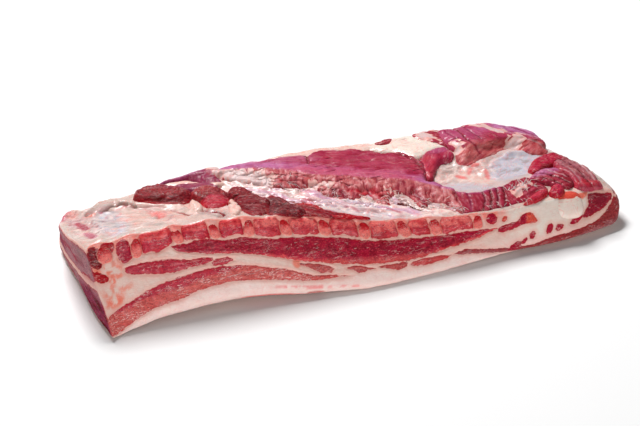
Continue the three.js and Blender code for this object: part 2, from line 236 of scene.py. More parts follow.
def uvOfPlan(x, y):  # where a point in plan lies on the top
    u, v = np.full(np.shape(x), 0.5), np.full(np.shape(x), 0.5)
    for _ in range(12):
        u = (x - leftEndX(v, 1)) / (rightEndX(v, 1) - leftEndX(v, 1))
        v = (y - sawnFaceY(u, 1)) / (farFaceY(u, 1) - sawnFaceY(u, 1))
    return u, v


def rounded(a, b, radius):  # turns the square edge between two faces into a round one
    m, n = clamp01(1 - a / radius), clamp01(1 - b / radius)
    near = (m > 0) & (n > 0)
    newA = np.where(near, radius * (1 - m * np.sqrt(1 - n * n / 2)), a)
    newB = np.where(near, radius * (1 - n * np.sqrt(1 - m * m / 2)), b)
    return newA, newB


def skin(u, v, w):  # a point of the outside with its edges rounded
    u, v, w = np.broadcast_arrays(u, v, w)
    height = topHeight(u, v) - undersideHeight(u, v)
    gap = {"left": u * slab["length"], "right": (1 - u) * slab["length"],  # to each face
           "front": v * slab["width"], "far": (1 - v) * slab["width"],
           "up": (1 - w) * height, "down": w * height}
    for (one, other), radius in edges.items():
        gap[one], gap[other] = rounded(gap[one], gap[other], radius)
    u = np.where(u < 0.5, gap["left"] / slab["length"], 1 - gap["right"] / slab["length"])
    v = np.where(v < 0.5, gap["front"] / slab["width"], 1 - gap["far"] / slab["width"])
    w = np.where(w < 0.5, gap["down"] / height, 1 - gap["up"] / height)
    return place(u, v, w)


def layerTop(index, u, v):
    deep = ease(v, 0, deepFrom)
    share = np.zeros(np.broadcast(u, v).shape)
    for k in range(index + 1):
        own = blend(along(layers[k]["sawn"], u), along(layers[k]["deep"], u), deep)
        highest = 1 - thinnest * (len(layers) - 1 - k)
        share = np.minimum(np.maximum(own, share + thinnest), highest)
    return share


noiseTables = {}
noiseSize = 32  # cells each way before the noise repeats


def noise(points, size, seed):  # smooth random values from -1 to 1, blobs about size mm across
    if seed not in noiseTables:
        noiseTables[seed] = np.random.RandomState(seed).rand(*[noiseSize] * 3) * 2 - 1
    table = noiseTables[seed]
    at = np.asarray(points, float) / size
    low = np.floor(at).astype(int)
    f = at - low
    f = f * f * (3 - 2 * f)
    total = 0
    for corner in np.ndindex(2, 2, 2):
        weight = np.prod([f[..., a] if corner[a] else 1 - f[..., a] for a in range(3)], axis=0)
        i, j, k = ((low[..., a] + corner[a]) % noiseSize for a in range(3))
        total = total + weight * table[i, j, k]
    return total


def clouds(points, size, seed, octaves=3):
    parts = [noise(points, size / 2 ** o, seed + o) / 2 ** o for o in range(octaves)]
    return sum(parts) / 1.4


def smoothOutline(outline, steps=5):  # closed smooth curve through a few points
    points = np.asarray(outline, float)
    before, after, beyond = np.roll(points, 1, 0), np.roll(points, -1, 0), np.roll(points, -2, 0)
    t = (np.arange(steps) / steps)[None, :, None]
    a, b, c, d = (part[:, None, :] for part in (before, points, after, beyond))
    square, cubic = 2 * a - 5 * b + 4 * c - d, 3 * b - a - 3 * c + d
    curve = 0.5 * (2 * b + (c - a) * t + square * t ** 2 + cubic * t ** 3)
    return curve.reshape(-1, 2)


def distanceInside(outline, x, y, reach=12):  # mm from a closed outline, positive inside it
    points = smoothOutline(outline)
    found = np.full(np.shape(x), -float(reach))
    low, high = points.min(0) - reach, points.max(0) + reach
    near = (x > low[0]) & (x < high[0]) & (y > low[1]) & (y < high[1])
    px, py = x[near], y[near]
    closest = np.full(px.shape, np.inf)
    inside = np.zeros(px.shape, bool)
    for (ax, ay), (bx, by) in zip(points, np.roll(points, -1, 0)):
        dx, dy = bx - ax, by - ay
        t = clamp01(((px - ax) * dx + (py - ay) * dy) / max(dx * dx + dy * dy, nearly))
        closest = np.minimum(closest, (px - ax - t * dx) ** 2 + (py - ay - t * dy) ** 2)
        crosses = (ay > py) != (by > py)
        inside ^= crosses & (px < ax + (py - ay) * dx / (dy if dy else nearly))
    found[near] = np.where(inside, 1, -1) * np.sqrt(closest)
    return np.maximum(found, -reach)


def distanceInOval(oval, x, y):  # about how many mm inside an oval: middle, half length, half width, turn
    midX, midY, halfLong, halfWide, degrees = oval
    ahead, aside = turned(x - midX, y - midY, degrees)
    out = np.hypot(ahead / halfLong, aside / halfWide)
    slope = np.hypot(ahead / halfLong ** 2, aside / halfWide ** 2)
    return (1 - out) * np.clip(out / np.maximum(slope, nearly), min(oval[2:4]), max(oval[2:4]))


def distanceToLine(line, x, y):  # mm from an open line, positive on its right-hand side
    points = np.asarray(line, float)
    closest = np.full(np.shape(x), np.inf)
    hand = np.zeros(np.shape(x))
    for (ax, ay), (bx, by) in zip(points[:-1], points[1:]):
        dx, dy = bx - ax, by - ay
        t = clamp01(((x - ax) * dx + (y - ay) * dy) / (dx * dx + dy * dy))
        away = (x - ax - t * dx) ** 2 + (y - ay - t * dy) ** 2
        turn = dy * (x - ax) - dx * (y - ay)
        hand = np.where(away < closest, np.sign(turn), hand)
        closest = np.minimum(closest, away)
    return hand * np.sqrt(closest)


# the slab's box is centred on the frame's origin
rising, falling = np.linspace(0, 1, 200), np.linspace(1, 0, 200)
outlineU = np.concatenate([rising, np.ones(200), falling, np.zeros(200)])
outlineV = np.concatenate([np.zeros(200), rising, np.ones(200), falling])
slabRim = place(outlineU[:, None], outlineV[:, None], np.linspace(0, 1, 21)[None, :]).reshape(-1, 3)
cadLow = np.array(cadBounds[0]) / mm
shift = np.array([cadLow[0] - slabRim[:, 0].min(), cadLow[1] - slabRim[:, 1].min(), 0])


def meshPiece(name, points, faces, carried, material):  # carried: (values, colours, vectors) by name
    mesh = bpy.data.meshes.new(name)
    mesh.vertices.add(len(points))
    mesh.vertices.foreach_set("co", ((points + shift) * mm).astype(np.float32).ravel())
    corners = np.concatenate([f.ravel() for f in faces]).astype(np.int32)
    sizes = np.concatenate([np.full(len(f), f.shape[1]) for f in faces])
    starts = np.concatenate([[0], np.cumsum(sizes)[:-1]]).astype(np.int32)
    mesh.loops.add(len(corners))
    mesh.loops.foreach_set("vertex_index", corners)
    mesh.polygons.add(len(sizes))
    mesh.polygons.foreach_set("loop_start", starts)
    mesh.update(calc_edges=True)
    mesh.validate()
    kinds = (("FLOAT", "value"), ("FLOAT_COLOR", "color"), ("FLOAT_VECTOR", "vector"))
    for (kind, field), layersOfKind in zip(kinds, carried):
        for key, data in layersOfKind.items():
            if kind == "FLOAT_COLOR":
                data = np.concatenate([asLight(data), np.ones((len(data), 1))], 1)
            mesh.attributes.new(key, kind, "POINT").data.foreach_set(field, data.astype(np.float32).ravel())
    piece = bpy.data.objects.new(name, mesh)
    bpy.context.scene.collection.objects.link(piece)
    mesh.materials.append(material)
    mesh.polygons.foreach_set("use_smooth", np.ones(len(mesh.polygons), bool))
    return piece


print("maths ready")


# the sawn face's pattern: u and w in hundredths of the slab's length and height; "under" is how far
# up the paler lower edge of a band reaches, in millimetres
sawnBands = [
    {"tone": "garnet", "fleck": 0.9, "underTone": "tan",  # outer lean
     "under": [(0, 17), (5, 11), (20, 8), (27, 12), (33, 30), (46, 30)],
     "low": [(-1, 1), (0, 3), (1.7, 5), (4.9, 11), (8.4, 17), (13.2, 19), (18.1, 25), (25, 26), (31, 23),
             (37.5, 21), (43.5, 24), (46, 31)],
     "high": [(-1, 21), (0, 22), (1.1, 26), (3, 30), (5.9, 34), (8.7, 39), (11.8, 42), (16.5, 45), (21.2, 46),
              (24.9, 44), (31, 38), (34.5, 33), (37.5, 27), (43.5, 25), (46, 20)]},
    {"tone": "crimson", "fleck": 0.4, "underTone": "salmon",  # inner lean
     "under": [(14, 0), (28, 1), (36, 3), (60, 2.5), (74, 2)],
     "low": [(13.4, 86), (14, 79), (14.9, 72), (17.4, 67), (19.6, 63), (22.9, 60), (25.5, 58), (31.25, 51),
             (37.5, 44), (43.75, 39), (50, 38), (56.25, 36), (62.5, 43), (68.75, 52), (72.3, 63), (74.5, 75)],
     "high": [(13.4, 76), (14, 80), (15.3, 79), (18, 80), (20.7, 79), (23.5, 75), (26.2, 77), (31.25, 73),
              (37.5, 75), (43.75, 75), (50, 70), (56.25, 70), (62.5, 67), (68.75, 69), (72.3, 66),
              (74.5, 58)]},
    {"tone": "brownPink", "fleck": 0.4, "underTone": "dusty",  # flank band
     "under": [(62, 2), (80, 3), (100, 6)],
     "low": [(62, 36), (63.6, 31), (69.2, 22), (73.7, 13), (77.7, 1), (81.8, -4), (88.2, -6), (94, 0),
             (98, 3), (99.8, 6), (101, 6)],
     "high": [(62, 30), (66.6, 36), (72.3, 24), (75.5, 18), (80.4, 15), (84, 22), (87.8, 25), (91.2, 27),
              (94.1, 34), (96.6, 55), (98.2, 73), (100, 80), (101, 80)]},
]
sawnIslands = [  # tone and outline
    ("garnet", [(5.4, 67), (5.9, 61), (9.2, 55), (12.2, 51), (15.6, 51), (19.9, 53), (20.4, 57), (19.4, 59),
                (15.8, 61), (12.9, 66), (8.1, 70), (6.3, 70)]),
    ("dusty", [(35.3, 42), (37, 42), (39.2, 41), (41.3, 35), (40.2, 30), (38.5, 31), (36.8, 37)]),
    ("dusty", [(43.4, 34), (44.5, 38), (46, 37), (48.8, 32), (47.7, 31), (45.8, 27), (44.4, 32)]),
    ("dusty", [(49.5, 34), (51.7, 35), (54.7, 35), (54.3, 27), (52.7, 25), (50.9, 30)]),
    ("rose", [(55.3, 30), (57, 34), (63, 33), (62.6, 27), (59.3, 24), (56.3, 26)]),
    ("crimson", [(73.1, 60), (74.4, 69), (76.9, 74), (78.6, 84), (80.1, 82), (80.8, 69), (81, 62), (79.1, 61),
                 (76, 57), (73.9, 55)]),
    ("plum", [(92.1, 71), (92.9, 94), (95.5, 92), (98.2, 89), (98.5, 80), (96.4, 63), (94.3, 51), (91.6, 44),
              (90.2, 50)]),
]
sawnSpots = [  # tone, middle in hundredths, half length and half width in mm, turn
    ("garnet", (22, 51.5, 10, 2.5, 0)), ("dark", (1.1, 87, 7.5, 6.5, 90)), ("blood", (3.5, 92, 8, 5, 40)),
    ("crimson", (6.2, 85, 8.5, 7, 90)), ("blood", (1, 66.5, 8, 4, -10)), ("crimson", (72.3, 86, 5.6, 5, 0)),
    ("orange", (74.8, 82, 3.6, 2.6, 20)), ("crimson", (76.6, 19, 7, 3.2, 20)),
    ("crimson", (78.4, 26, 3.4, 2.4, 30)), ("crimson", (79.9, 35, 3.4, 3, 40)),
    ("crimson", (83.3, 41, 4.4, 3.2, 60)), ("crimson", (85.4, 39, 4.8, 2.8, 0)),
    ("crimson", (89, 46, 8.5, 2.6, 10)),
]
sawnStains = [  # what it colours, tone, share, softness in mm, whether mottled, oval as for the spots
    ("lean", "orange", 1, 2, False, (80.2, 73, 9, 6, 60)),
    ("lean", "wine", 0.32, 6, True, (51, 60, 78, 8, -6)), ("lean", "tan", 0.7, 2, False, (49, 31, 80, 9, -4)),
    ("lean", "dark", 0.4, 4, True, (26, 66, 50, 5, -6)), ("fat", "orange", 0.7, 5, True, (2.6, 70, 13, 9, 0)),
    ("fat", "orange", 0.7, 1.8, False, (34.8, 43, 3.5, 3, 90)),
    ("fat", "orange", 0.45, 5, True, (3.2, 48, 14, 6, 0)),
    ("fat", "orange", 0.7, 3, True, (2.2, 37, 8, 3, 0)),
    ("fat", "butter", 0.8, 6, False, (83, 72, 45, 13, 0)),
    ("fat", "salmon", 0.8, 1.2, False, (30, 0, 30, 2, 0)),
    ("fat", "fringe", 0.8, 1.2, False, (37.5, 3, 8, 2, 0)),
    ("fat", "salmon", 0.5, 1.2, True, (38, 12, 40, 1.2, -3)),
    ("fat", "orange", 0.8, 1.2, False, (90.5, 94, 12, 3, 0)),
    ("fat", "blush", 0.6, 3, True, (8, 77, 26, 3, 0)),
]

# the row of cut ribs
ribRow = {
    "u": [.029, .083, .155, .219, .28, .344, .413, .483, .554, .613, .695],
    "shown": (2, 11),  # ribs with a muscle cell between them
    "halfWidth": [6.2, 4.6, 5, 5, 5.2, 5.4, 5.4, 5.6, 5.8, 6, 5.2],
    "low": [(0, 82), (3, 79), (5, 76), (8, 75), (10, 77), (12, 75), (14, 80), (18, 81), (20.7, 80),
            (23.5, 77), (26.2, 79), (31, 75), (37, 77), (44, 77), (50, 72), (56, 72), (62.5, 69), (66, 71),
            (69, 70), (71, 72), (76, 80)],
    "top": 0.975, "cellTop": 0.998, "reach": 0.62, "proud": 0.7, "socket": 1, "cellGap": -0.5,
    "cellBulge": 1.3,
    "bump": [(0, 3), (20, 3), (32, 1.2), (100, 1)], "bumpWidth": 8, "bumpShift": 4,  # the crest over each rib
}

# how the sawn surface stands proud or sinks, in millimetres
sawnRelief = {"lean": -0.25, "border": 0.45, "borderWidth": 0.9, "fibre": 0.12, "waves": 0.55, "waveSize": 16,
              "grit": 0.12, "wander": 0.9, "socket": 0.8, "crest": 0.6}

# how the muscle cells between the ribs look: lengths in millimetres, shares 0 to 1
cells = {"redUpTo": 4, "topRound": 5.5, "footRound": 3, "wander": 0.9, "split": 0.46, "splitSwing": 0.12,
         "splitRise": 0.14, "splitWander": 2.4, "lower": 0.9, "blood": 0.45}
softness = {"band": 3, "spot": 2, "under": 1.5}  # mm over which a tone fades in
farOutside = -12.0  # mm from any lean


def faceHeight(u):
    return topHeight(u, 0) - undersideHeight(u, 0)


def curveAt(points, u):  # height share of a named curve, softened over about 6 mm
    at = np.linspace(-0.02, 1.02, 521)
    table = np.array(points, float) / 100
    raw = np.interp(at, table[:, 0], table[:, 1])
    bell = np.exp(-np.linspace(-2, 2, 7) ** 2)
    padded = np.pad(raw, 3, mode="edge")
    return np.interp(u, at, np.convolve(padded, bell / bell.sum(), "valid"))


def toFace(outline):  # hundredths to millimetres on the sawn face
    points = np.array(outline, float) / 100
    return np.stack([points[:, 0] * slab["length"], points[:, 1] * faceHeight(points[:, 0])], 1)


def ovalOnFace(oval):
    u, w = oval[0] / 100, oval[1] / 100
    return (u * slab["length"], w * faceHeight(u), *oval[2:])


def paint(colour, share, tone):
    return blend(colour, seen(tone), share[..., None])


def flat(shape, tone):
    return np.broadcast_to(seen(tone), (*shape, 3)).copy()


def sawnFields(u, w):  # what the sawn face shows at u, w
    height = faceHeight(u)
    across, up = u * slab["length"], w * height
    onFace = asPlan(across, up)
    lean = np.full(u.shape, farOutside)
    leanTone, fatTone = flat(u.shape, "rose"), flat(u.shape, "cream")
    fleck = np.full(u.shape, 0.5)
    for band in sawnBands:
        fromLow = up - curveAt(band["low"], u) * height
        inside = np.minimum(fromLow, curveAt(band["high"], u) * height - up)
        share = ease(inside, -softness["band"], 0)
        lean = np.maximum(lean, inside)
        leanTone = paint(leanTone, share, band["tone"])
        above = fromLow + softness["under"] * noise(onFace, 5, 29)
        under = np.interp(u * 100, *np.transpose(band["under"]))
        underShare = ease(under - above, -softness["under"], softness["under"])
        leanTone = paint(leanTone, share * underShare, band["underTone"])
        fleck = blend(fleck, band["fleck"], share)
    islands = [(tone, distanceInside(toFace(outline), across, up)) for tone, outline in sawnIslands]
    spots = [(tone, distanceInOval(ovalOnFace(oval), across, up)) for tone, oval in sawnSpots]
    for tone, inside in islands + spots:
        share = ease(inside, -softness["spot"], 0)
        lean = np.maximum(lean, inside)
        leanTone = paint(leanTone, share, tone)
        fleck = blend(fleck, 0.5, share)
    fatTone = paint(fatTone, ease(curveAt(sawnBands[0]["low"], u) * height - up, -6, 6), "pinkFat")
    low = curveAt(ribRow["low"], u) * height + 0.8
    bulge = np.zeros(u.shape)
    inRow = ease(up - low, -3, 1) * ease(0.76 - u, 0, 0.02)
    fatTone = paint(fatTone, 0.4 * inRow, "blush")
    upper = ease((up - low) / (height - low), 0.35, 0.8)
    fatTone = paint(fatTone, inRow * upper * blend(0.35, 0.9, ease(noise(onFace, 5, 57), -0.5, 0.4)), "cell")
    first, last = ribRow["shown"]
    top = ribRow["cellTop"] * height
    for k in range(first, last):  # the muscle cell between two ribs
        isRed = k <= cells["redUpTo"]
        between = (ribRow["u"][k - 1] + ribRow["u"][k]) / 2
        half = (ribRow["u"][k] - ribRow["u"][k - 1]) / 2 * slab["length"]
        half = half - (ribRow["halfWidth"][k - 1] + ribRow["halfWidth"][k]) / 2 - ribRow["cellGap"]
        middle, tall = (low + top) / 2, (top - low) / 2
        corner = np.minimum(np.where(up > middle, cells["topRound"], cells["footRound"]), half)
        dx = np.abs(across - between * slab["length"]) - half + corner
        dy = np.abs(up - middle) - tall + corner
        inside = corner - np.hypot(np.maximum(dx, 0), np.maximum(dy, 0)) - np.minimum(np.maximum(dx, dy), 0)
        inside = inside + cells["wander"] * noise(onFace, 5, 40 + k)
        lean = np.maximum(lean, inside)
        rise = cells["split"] + cells["splitSwing"] * np.sin(3.1 * k) + cells["splitRise"] * isRed
        split = low + rise * 2 * tall + cells["splitWander"] * noise(onFace, 4, 50 + k)
        cell = ease(inside, -softness["spot"], 0)
        leanTone = paint(leanTone, cell, "salmon" if isRed else "cell")
        lower = cells["lower"] * cell * ease(split - up, -1.6, 1.6)
        leanTone = paint(leanTone, lower, "garnet" if isRed else "rose")
        leanTone = paint(leanTone, cells["blood"] * cell * ease(noise(onFace, 3.2, 70 + k), 0, 0.6), "blood")
        fleck = blend(fleck, 0.4, cell)
        bulge = np.maximum(bulge, ribRow["cellBulge"] * ease(inside, -0.5, 4))
    for over, tone, share, soft, mottled, oval in sawnStains:
        share = share * ease(distanceInOval(ovalOnFace(oval), across, up), -soft, soft * 0.5)
        if mottled:
            share = share * ease(noise(onFace, 3.4, 31) + 0.5 * noise(onFace, 1.7, 32), -0.4, 0.5)
        if over == "lean":
            leanTone = paint(leanTone, share, tone)
        else:
            fatTone = paint(fatTone, share, tone)
    crest = ease(up - 0.985 * height, -0.5, 0.8)
    fatTone = paint(fatTone, 0.5 * crest * ease(0.72 - u, 0, 0.05), "blush")
    return lean, leanTone, fatTone, fleck, bulge


endBands = {  # in hundredths of the height
    "left": [{"tone": "mauve", "low": [-2, -2, -2, -2, 0], "high": [54, 44, 33, 21, 10]},
             {"tone": "mauve", "low": [62, 54, 45, 35, 25], "high": [95, 96, 97, 98, 104]}],
    "right": [{"tone": "brownPink", "low": [4, 4, 6, 10], "high": [80, 68, 60, 56]},
              {"tone": "crimson", "low": [87, 78, 68, 64], "high": [110, 110, 100, 98]}],
    "far": [{"tone": "rose", "low": [8, 20, 22, 20, 10], "high": [34, 40, 42, 38, 50]},
            {"tone": "brownPink", "low": [44, 50, 56, 54, 60], "high": [66, 70, 74, 78, 84]}],
}
endZones = {  # tone, share, softness, whether mottled, oval in hundredths of the depth and height
    "left": [("plum", 0.75, 8, True, (50, 66, 50, 16, 0)), ("violet", 0.9, 7, False, (82, 52, 14, 15, 0)),
        ("mauve", 0.6, 6, True, (54, 88, 44, 8, 0)), ("grey", 0.6, 6, True, (14, 76, 18, 18, 0)),
        ("brownPink", 0.5, 8, True, (64, 14, 30, 14, 0)),
        ("violet", 0.85, 8, False, (10, 14, 34, 28, 0)),
        ("wine", 0.85, 9, True, (6, 14, 30, 28, 0)), ("crimson", 0.8, 6, False, (97, 86, 6, 20, 0)),
        ("fascia", 0.7, 4, True, (2, 52, 7, 14, 0))],
    "right": [("dark", 1, 8, False, (28, 94, 34, 12, -8))],
    "far": [],
}


def endFields(v, w, name):  # what a short end or the far side shows
    across, up = v * 100, w * 100
    lean = np.full(v.shape, farOutside)
    leanTone, fatTone = flat(v.shape, "plum"), flat(v.shape, "cream")
    for band in endBands[name]:
        low, high = (np.interp(v, np.linspace(0, 1, len(band[key])), band[key]) for key in ("low", "high"))
        inside = np.minimum(up - low, high - up) / 2
        lean = np.maximum(lean, inside)
        leanTone = paint(leanTone, ease(inside, -softness["band"], 0), band["tone"])
    patchy = noise(asPlan(across / 9, up / 7), 1, 33)
    for tone, share, soft, mottled, oval in endZones[name]:
        share = share * ease(distanceInOval(oval, across, up), -soft, soft)
        if mottled:
            share = share * ease(patchy, -0.2, 0.35)
        leanTone = paint(leanTone, share, tone)
        fatTone = paint(fatTone, 0.5 * share, tone)
    return lean, leanTone, fatTone, np.full(v.shape, 0.2), np.zeros(v.shape)


def wallFields(u, v, w, side):  # all four sides, blended round the corners
    sets = [sawnFields(u, w), endFields(v, w, "right"), endFields(u, w, "far"), endFields(v, w, "left")]
    total = [0] * len(sets[0])
    for share, fields in zip(side, sets):
        for k, field in enumerate(fields):
            total[k] = total[k] + (share[..., None] if field.ndim > share.ndim else share) * field
    return total


print("sawn face laid out")


# columns run round the slab: sawn face, right end, far side, left end
cellsAlong, cellsAcross = grid["along"], grid["across"]
stepAlong, stepAcross = np.arange(cellsAlong) / cellsAlong, np.arange(cellsAcross) / cellsAcross
colU = np.concatenate([stepAlong, np.ones(cellsAcross), 1 - stepAlong, np.zeros(cellsAcross)])
colV = np.concatenate([np.zeros(cellsAlong), stepAcross, np.ones(cellsAlong), 1 - stepAcross])
columns = len(colU)
sideLengths = np.array([slab["length"], slab["width"]] * 2)
cornerAt = np.concatenate([[0], np.cumsum(sideLengths)])  # mm round the slab at which each side begins
roundTrip = cornerAt[-1]
sideEnd = np.repeat([0, 1, 2, 3], [cellsAlong, cellsAcross, cellsAlong, cellsAcross])
isLeftEnd = sideEnd == 3
stepOn = np.concatenate([stepAlong, stepAcross, stepAlong, stepAcross])
colAt = cornerAt[sideEnd] + stepOn * sideLengths[sideEnd]
side = np.eye(4)[sideEnd]
cornerSoft = [2, 9, 9, 7]  # mm over which the pattern changes at each corner
for corner, (at, soft) in enumerate(zip(cornerAt, cornerSoft)):
    away = (colAt - at + roundTrip / 2) % roundTrip - roundTrip / 2
    near = np.abs(away) < soft
    share = ease(away[near], -soft, soft)
    side[near] = 0
    side[near, corner] = share
    side[near, corner - 1] = 1 - share

# rows run up through the bands
rowStart = np.concatenate([[0], np.cumsum([layer["rows"] for layer in layers])])
rows = rowStart[-1] + 1
wallW = np.zeros((columns, rows))
for k, layer in enumerate(layers):
    bottom = layerTop(k - 1, colU, colV) if k else np.zeros(columns)
    top = layerTop(k, colU, colV) if k < len(layers) - 1 else np.ones(columns)
    steps = np.arange(layer["rows"] + 1) / layer["rows"]
    wallW[:, rowStart[k]:rowStart[k + 1] + 1] = bottom[:, None] + (top - bottom)[:, None] * steps
wallU, wallV = np.broadcast_to(colU[:, None], wallW.shape), np.broadcast_to(colV[:, None], wallW.shape)

gridU, gridV = np.meshgrid(np.arange(cellsAlong + 1) / cellsAlong, np.arange(cellsAcross + 1) / cellsAcross,
                           indexing="ij")
gridI, gridJ = np.meshgrid(np.arange(cellsAlong + 1), np.arange(cellsAcross + 1), indexing="ij")
borderColumn = np.full(gridI.shape, -1)
borderColumn[gridJ == 0] = gridI[gridJ == 0]
borderColumn[gridI == cellsAlong] = (cellsAlong + gridJ)[gridI == cellsAlong]
borderColumn[gridJ == cellsAcross] = (2 * cellsAlong + cellsAcross - gridI)[gridJ == cellsAcross]
atLeft = (gridI == 0) & (gridJ > 0)
borderColumn[atLeft] = (2 * cellsAlong + 2 * cellsAcross - gridJ)[atLeft]
innerGrid = borderColumn < 0
innerCount = int(innerGrid.sum())
innerNumber = np.cumsum(innerGrid.ravel()).reshape(gridI.shape) - 1
wallCount = columns * rows
wallIndex = np.arange(wallCount).reshape(columns, rows)
topIndex = np.where(innerGrid, wallCount + innerNumber, wallIndex[borderColumn, -1])
underIndex = np.where(innerGrid, wallCount + innerCount + innerNumber, wallIndex[borderColumn, 0])


def quads(index):
    return np.stack([index[:-1, :-1], index[1:, :-1], index[1:, 1:], index[:-1, 1:]], -1).reshape(-1, 4)


wallLoop = np.concatenate([wallIndex, wallIndex[:1]])
skinFaces = np.concatenate([quads(wallLoop), quads(topIndex), quads(underIndex)[:, ::-1]])


def vertexNormals(points, faces):
    across = points[faces[:, 2]] - points[faces[:, 0]]
    other = points[faces[:, 3]] - points[faces[:, 1]]
    facing = np.cross(across, other)
    total = np.zeros_like(points)
    for k in range(4):
        for axis in range(3):
            total[:, axis] += np.bincount(faces[:, k], facing[:, axis], len(points))
    return total / np.maximum(np.linalg.norm(total, axis=1, keepdims=True), 1e-12)


skinPoints = np.zeros((wallCount + 2 * innerCount, 3))
skinPoints[:wallCount] = skin(wallU, wallV, wallW).reshape(-1, 3)
topSkin = skin(gridU, gridV, 1.0)
underSkin = skin(gridU, gridV, 0.0)
skinPoints[topIndex[innerGrid]] = topSkin[innerGrid]
skinPoints[underIndex[innerGrid]] = underSkin[innerGrid]
plainNormals = vertexNormals(skinPoints, skinFaces)
topX, topY = topSkin[..., 0], topSkin[..., 1]
print("skin grid", len(skinPoints), "points")

# colour on the upper side: tone, share, softness in mm, then the oval: middle, half length, half width, turn
topZones = [
    ("blush", 0.2, 26, (-90, -22, 150, 45, -18)), ("bluish", 0.85, 10, (-226, 6, 38, 13, 88)),
    ("grey", 0.35, 6, (-224, 10, 26, 5, 80)), ("crimson", 0.8, 5, (-258, 72, 20, 7, 80)),
    ("mauve", 0.65, 5, (-253, 46, 24, 6, 88)), ("shell", 0.5, 4, (-251, 60, 11, 5, 85)),
    # the grey oval at (-136, -16) lies along the umber crease between the lumps: painted shade
    ("grey", 0.75, 6, (-136, -16, 23, 8, 105)), ("fascia", 0.9, 10, (-30, -15, 114, 40, -28)),
    ("plum", 0.35, 6, (-27, -16, 22, 8, -35)), ("bluish", 0.6, 9, (0, -34, 38, 13, -32)),
    ("butter", 0.9, 8, (92, 62, 34, 25, -5)), ("cream", 0.9, 7, (5, 85, 66, 9, 0)),
    ("fascia", 0.8, 7, (155, 2, 80, 29, 15)), ("cream", 0.7, 7, (116, -6, 30, 14, -20)),
    ("bluish", 0.9, 6, (180, 6, 37, 17, 32)), ("bluish", 0.6, 5, (118, -21, 22, 6, -20)),
    # the grey oval at (116, 14), along the foot of the curled muscle, is painted shade
    ("grey", 0.6, 5, (116, 14, 16, 7, 40)), ("cream", 0.8, 5, (200, -60, 40, 9, 3)),
]
topMarks = [  # the same, for small marks laid over the torn fascia
    ("plum", 0.85, 2.4, (-250, 20, 14, 3.4, 97)), ("purple", 0.6, 2.4, (-250, -16, 13, 3.4, 97)),
    ("orange", 0.55, 3, (-236, 46, 9, 4, 88)), ("salmon", 0.4, 4, (-181, 13, 13, 5, 100)),
    ("salmon", 0.6, 2, (118, -3, 5, 2, -30)), ("salmon", 0.6, 2, (140, 14, 5, 2, 20)),
    ("salmon", 0.5, 2, (144, -6, 7, 2, 80)), ("salmon", 0.5, 2, (130, 4, 5, 2, 50)),
    ("violet", 0.5, 3, (-30, -40, 9, 3, -40)), ("dusty", 0.5, 3, (10, -44, 12, 3, -20)),
    ("plum", 0.5, 2, (28, -46, 10, 1.6, -50)), ("plum", 0.4, 2, (-8, -34, 9, 1.4, -60)),
]

# folds, creases and veins of the upper side: rise and half width in mm, tone, line; a dark tone along a
# crease is partly painted shade, a pale one a line of fascia
topFolds = [
    (1.6, 5, None, [(-246, -34), (-236, -8), (-238, 24), (-230, 44), (-216, 56)]),
    (3.2, 4.5, None, [(-258, 58), (-250, 76), (-244, 66), (-240, 48)]),
    (1.6, 4, None, [(-236, 40), (-223, 42), (-212, 36), (-198, 46)]),
    (-1.4, 2, "plum", [(-230, 38), (-221, 47), (-207, 46), (-198, 50)]),
    (2.2, 3, None, [(-206, 54), (-188, 47), (-176, 36), (-158, 28), (-153, 12), (-149, -10)]),
    (-1.6, 1.8, "dusty", [(-200, 44), (-184, 38), (-168, 26), (-160, 10), (-156, -12)]),
    (-1.2, 1.6, "salmon", [(-186, 34), (-180, 14), (-184, -4)]),
    (0.9, 3, None, [(-222, 30), (-206, 12), (-200, -14), (-180, -26)]),
    (0.8, 2.4, None, [(-176, 20), (-168, -2), (-150, -22), (-128, -34)]),
    (-0.8, 1.6, "mauve", [(-172, 18), (-170, 0), (-178, -16)]),
    (-2.4, 2.6, "umber", [(-143, 4), (-134, -8), (-128, -24), (-134, -36)]),
    (1.4, 3, None, [(-120, -6), (-114, -24), (-112, -44)]),
    (-1.6, 2, "umber", [(-116, 30), (-112, 0), (-104, -30)]),
    (1.2, 4, None, [(-100, 60), (-60, 26), (-30, 2)]),
    (-1, 2, None, [(-110, 50), (-70, 24), (-50, 4)]),
    (1, 3, None, [(-86, 30), (-50, 4), (-20, -24)]),
    (-0.9, 2, None, [(-60, -6), (-30, -28), (0, -44)]),
    (1.1, 4, None, [(-40, -20), (0, -38), (40, -50), (80, -58)]),
    (2.2, 5, None, [(122, 30), (151, 27), (176, 32), (204, 30), (226, 28)]),
    (1.8, 3, None, [(147, 0), (133, 7), (121, 18), (124, 30)]),
    (-1.2, 2.2, None, [(150, 6), (160, 20), (176, 26)]),
    (1.2, 3, None, [(140, -4), (150, 8), (166, 20), (184, 28)]),
    (1, 2.5, None, [(152, -16), (142, -4), (128, 6)]),
    (-1.6, 14, None, [(100, -2), (130, -8), (170, 2), (200, 16)]),
    (1.2, 3, None, [(206, -50), (222, -54), (240, -50)]),
]
topRelief = {"waves": 0.9, "waveSize": 26, "wrinkle": 0.5, "wrinkleSize": 6, "edge": 6, "underWaves": 0.5,
             "depth": 0.7}  # the depth is the share of the lining that a crease may reach
